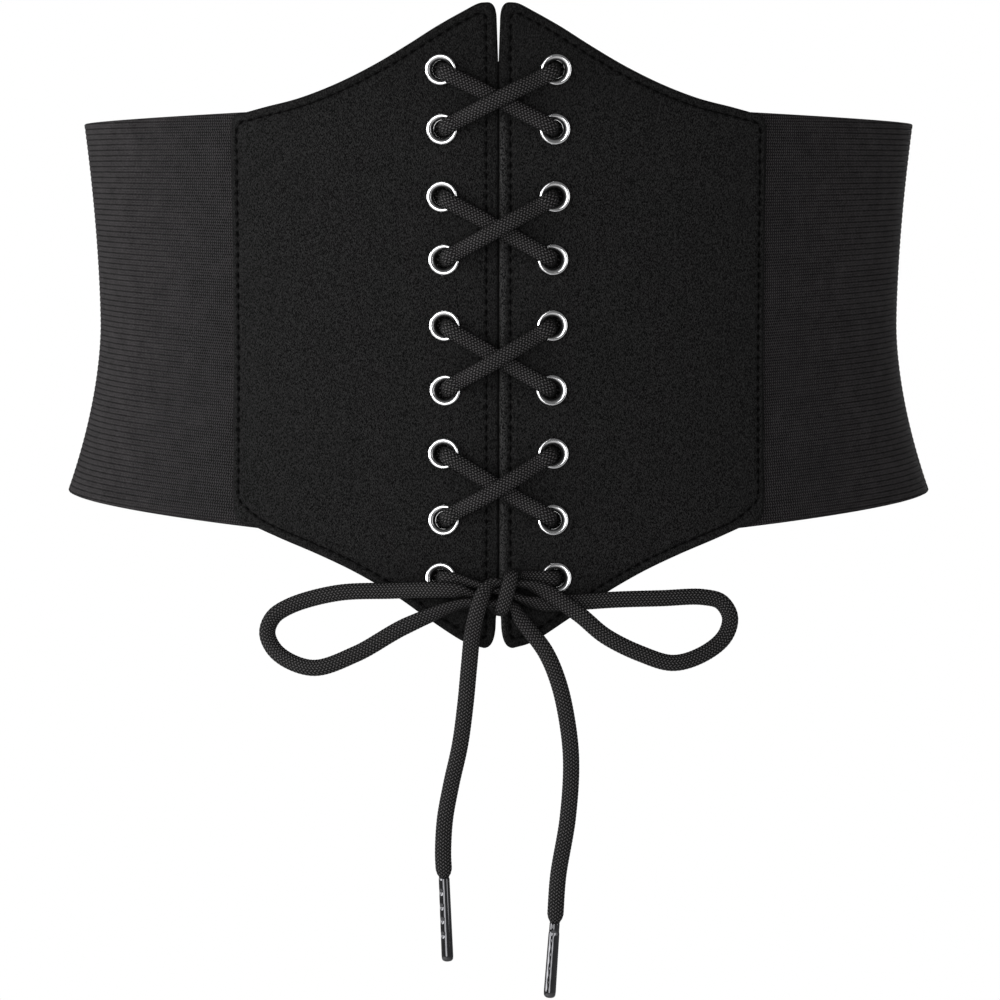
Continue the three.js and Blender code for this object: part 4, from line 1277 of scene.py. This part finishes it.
def nodes_tree(name, inputs):
    tree = bpy.data.node_groups.new(name, "GeometryNodeTree")
    tree.interface.new_socket(name="Geometry", in_out="INPUT", socket_type="NodeSocketGeometry")
    for socket, kind, value in inputs:
        made = tree.interface.new_socket(name=socket, in_out="INPUT", socket_type=kind)
        if value is not None:
            made.default_value = value
    tree.interface.new_socket(name="Geometry", in_out="OUTPUT", socket_type="NodeSocketGeometry")
    return tree, tree.nodes.new("NodeGroupInput"), tree.nodes.new("NodeGroupOutput")


def instances(tree, points, instance, rotation, **more):
    """An instance of a geometry on each point."""
    values = {"Points": points, "Instance": instance, "Rotation": rotation, **more}
    return node(tree, "GeometryNodeInstanceOnPoints", values).outputs[0]


def outward(tree):
    """The outward vector that each point carries."""
    return node(tree, "GeometryNodeInputNamedAttribute", {"Name": "out"}, data_type="FLOAT_VECTOR").outputs[0]


def finish_tree(tree, given, result, geometry):
    """Ends a tree in real geometry with its material."""
    real = node(tree, "GeometryNodeRealizeInstances", {0: geometry})
    values = {"Geometry": real.outputs[0], "Material": given.outputs["Material"]}
    painted = node(tree, "GeometryNodeSetMaterial", values)
    tree.links.new(painted.outputs[0], result.inputs[0])


def eyelet_tree():
    """Sets an eyelet on each point, facing along the point's outward vector, with its own turn."""
    tree, given, result = nodes_tree("set_eyelets", (
        ("Eyelet", "NodeSocketObject", None),
        ("Material", "NodeSocketMaterial", None),
        ("Seed", "NodeSocketInt", 7),
    ))
    model = node(tree, "GeometryNodeObjectInfo", {"Object": given.outputs["Eyelet"]})
    facing = node(tree, "FunctionNodeAlignRotationToVector", {"Vector": outward(tree)}, axis="Z")
    turn = node(tree, "FunctionNodeRandomValue", {"Seed": given.outputs["Seed"]}, data_type="FLOAT")
    turn.inputs[2].default_value = 0
    turn.inputs[3].default_value = 2 * math.pi
    spin = node(tree, "FunctionNodeAxisAngleToRotation", {"Angle": turn.outputs[1]})
    turned = {0: facing.outputs[0], 1: spin.outputs[0]}
    both = node(tree, "FunctionNodeRotateRotation", turned, rotation_space="LOCAL")
    placed = instances(tree, given.outputs["Geometry"], model.outputs["Geometry"], both.outputs[0])
    finish_tree(tree, given, result, placed)
    return tree


def stitch_tree():
    """Lays stitches end to end along each sewn line."""
    tree, given, result = nodes_tree("lay_stitches", (
        ("Pitch", "NodeSocketFloat", STITCH_PITCH),
        ("Length", "NodeSocketFloat", STITCH_LENGTH),
        ("Thickness", "NodeSocketFloat", STITCH_THICKNESS),
        ("Material", "NodeSocketMaterial", None),
    ))
    pitch, length, thickness = [given.outputs[name] for name in ("Pitch", "Length", "Thickness")]
    line = node(tree, "GeometryNodeMeshToCurve", {"Mesh": given.outputs["Geometry"]}).outputs[0]
    spaced = node(tree, "GeometryNodeResampleCurve", {"Curve": line, "Length": pitch}, mode="LENGTH")
    along = node(tree, "GeometryNodeInputTangent").outputs[0]
    axes = {"primary_axis": "Z", "secondary_axis": "X"}
    facing = node(tree, "FunctionNodeAxesToRotation", {0: outward(tree), 1: along}, **axes)
    size = node(tree, "ShaderNodeCombineXYZ", {0: length, 1: thickness, 2: thickness})
    ball = node(tree, "GeometryNodeMeshUVSphere", {"Segments": 8, "Rings": 6, "Radius": 0.5})
    smooth = node(tree, "GeometryNodeSetShadeSmooth", {0: ball.outputs[0]})
    laid = instances(tree, spaced.outputs[0], smooth.outputs[0], facing.outputs[0], Scale=size.outputs[0])
    finish_tree(tree, given, result, laid)
    return tree


def set_out_piece(name, points, edges, outs, tree, values):
    """Runs a tree on points that carry their outward vectors, and keeps the result as a plain mesh."""
    mesh = bpy.data.meshes.new(name + "_guide")
    mesh.from_pydata(np.asarray(points).tolist(), edges, [])
    mesh.attributes.new("out", "FLOAT_VECTOR", "POINT").data.foreach_set("vector", np.asarray(outs).ravel())
    guide = bpy.data.objects.new(name + "_guide", mesh)
    scene.collection.objects.link(guide)
    modifier = guide.modifiers.new("nodes", "NODES")
    modifier.node_group = tree
    for item in tree.interface.items_tree:
        if item.in_out == "INPUT" and item.name in values:
            modifier[item.identifier] = values[item.name]
    graph = bpy.context.evaluated_depsgraph_get()
    made = bpy.data.meshes.new_from_object(guide.evaluated_get(graph), depsgraph=graph)
    made.name = name
    guide.modifiers.remove(modifier)
    bpy.data.objects.remove(guide)
    piece = bpy.data.objects.new(name, made)
    scene.collection.objects.link(piece)
    return piece


seats = [eyelet_seat(row, side) for side in (-1, 1) for row in range(len(EYELET_ROWS))]
model = eyelet_model()
eyelets = set_out_piece(
    "eyelets_rolled", [seat[0] for seat in seats], [], [seat[1] for seat in seats],
    eyelet_tree(), {"Eyelet": model, "Material": nickel},
)
bpy.data.objects.remove(model)
eyelets.data.shade_smooth()

line_points, line_edges, line_outs = [], [], []
for line, out in seams:
    first = len(line_points)
    line_points += list(line)
    line_outs += list(out)
    line_edges += [(first + i, first + (i + 1) % len(line)) for i in range(len(line))]
stitches = set_out_piece("stitching", line_points, line_edges, line_outs, stitch_tree(), {"Material": thread})


# What rides, what it replaces and what it is

eyelet_nodes = [f"eyelet_{side}_{row + 1}" for side in ("left", "right") for row in range(len(EYELET_ROWS))]
PIECES = (
    (panels["left"], "suede", ["panel_left"]),
    (panels["right"], "suede", ["panel_right"]),
    (bands["left"], "elastic", ["elastic_left"]),
    (bands["right"], "elastic", ["elastic_right"]),
    (closure, "suede", ["back_closure"]),
    (eyelets, "eyelet_metal", eyelet_nodes),
    (stitches, "suede", []),
    (lace, "braid", ["lace"]),
    (cords["left"][0], "braid", ["cord_left"]),
    (cords["right"][0], "braid", ["cord_right"]),
    (tips["left"], "tip_metal", ["aglet_left"]),
    (tips["right"], "tip_metal", ["aglet_right"]),
)
for piece, slot, nodes in PIECES:
    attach(piece, "root")
    if nodes:
        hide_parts(*nodes)

x, y = outline.T


# Floor, light and surroundings

FLOOR_LEVEL = -0.8
FLOOR_HALF = 6.0
# The surroundings' strength as light, and as what shines in a glossy surface
SURROUND_LIGHT, SURROUND_SHINE = 0.34, 0.15


def white_to_camera(tree, kind, shader_socket, output):
    """What the camera sees is white, and the light and the reflections stay as they are."""
    seen = node(tree, "ShaderNodeLightPath").outputs
    white = node(tree, kind, {"Color": (1, 1, 1, 1), "Strength": 1.0}).outputs[0]
    shown = node(tree, "ShaderNodeMixShader", {0: seen["Is Camera Ray"], 1: shader_socket, 2: white})
    tree.links.new(shown.outputs[0], tree.nodes[output].inputs["Surface"])
    return seen


floor_material, tree, bsdf = shader("pale_floor")
bsdf.inputs["Base Color"].default_value = (0.5, 0.5, 0.5, 1)
bsdf.inputs["Roughness"].default_value = 0.9
white_to_camera(tree, "ShaderNodeEmission", bsdf.outputs[0], "Material Output")
corners = [(x * FLOOR_HALF, y * FLOOR_HALF, FLOOR_LEVEL) for x, y in ((-1, -1), (1, -1), (1, 1), (-1, 1))]
floor = make_piece("floor", corners, [[0, 1, 2, 3]], floor_material)

world = bpy.data.worlds.new("studio")
scene.world = world
world.use_nodes = True
tree = world.node_tree
around = tree.nodes["Background"]
around.inputs["Color"].default_value = (1, 1, 1, 1)
seen = white_to_camera(tree, "ShaderNodeBackground", around.outputs[0], "World Output")
lit = range_of(tree, seen["Is Glossy Ray"], 0.0, 1.0, SURROUND_LIGHT, SURROUND_SHINE)
tree.links.new(lit, around.inputs["Strength"])
scene.view_settings.view_transform = "Standard"

# Name, place, width and height, and power of each soft box; all face the belt
SOFT_BOXES = (
    ("key", (-1.64, -0.73, 0.1), (0.9, 1.2), 21),
    ("front", (-0.52, -1.75, 0.05), (1.25, 1.4), 18),
    ("fill", (1.5, -1.0, 0.1), (0.8, 1.2), 6),
    ("rim", (-1.7, 0.3, 0.1), (0.8, 1.2), 11),
    ("back", (0.3, 1.5, 0.4), (1.2, 1.0), 12),
)
for name, place, size, power in SOFT_BOXES:
    light = bpy.data.lights.new(name, "AREA")
    light.shape = "RECTANGLE"
    light.size, light.size_y = size
    light.energy = power
    box = bpy.data.objects.new(name, light)
    box.location = place
    x, y, z = -np.array(place)
    box.rotation_euler = (math.atan2(math.hypot(x, y), -z), 0, math.atan2(x, -y) + math.pi)
    scene.collection.objects.link(box)
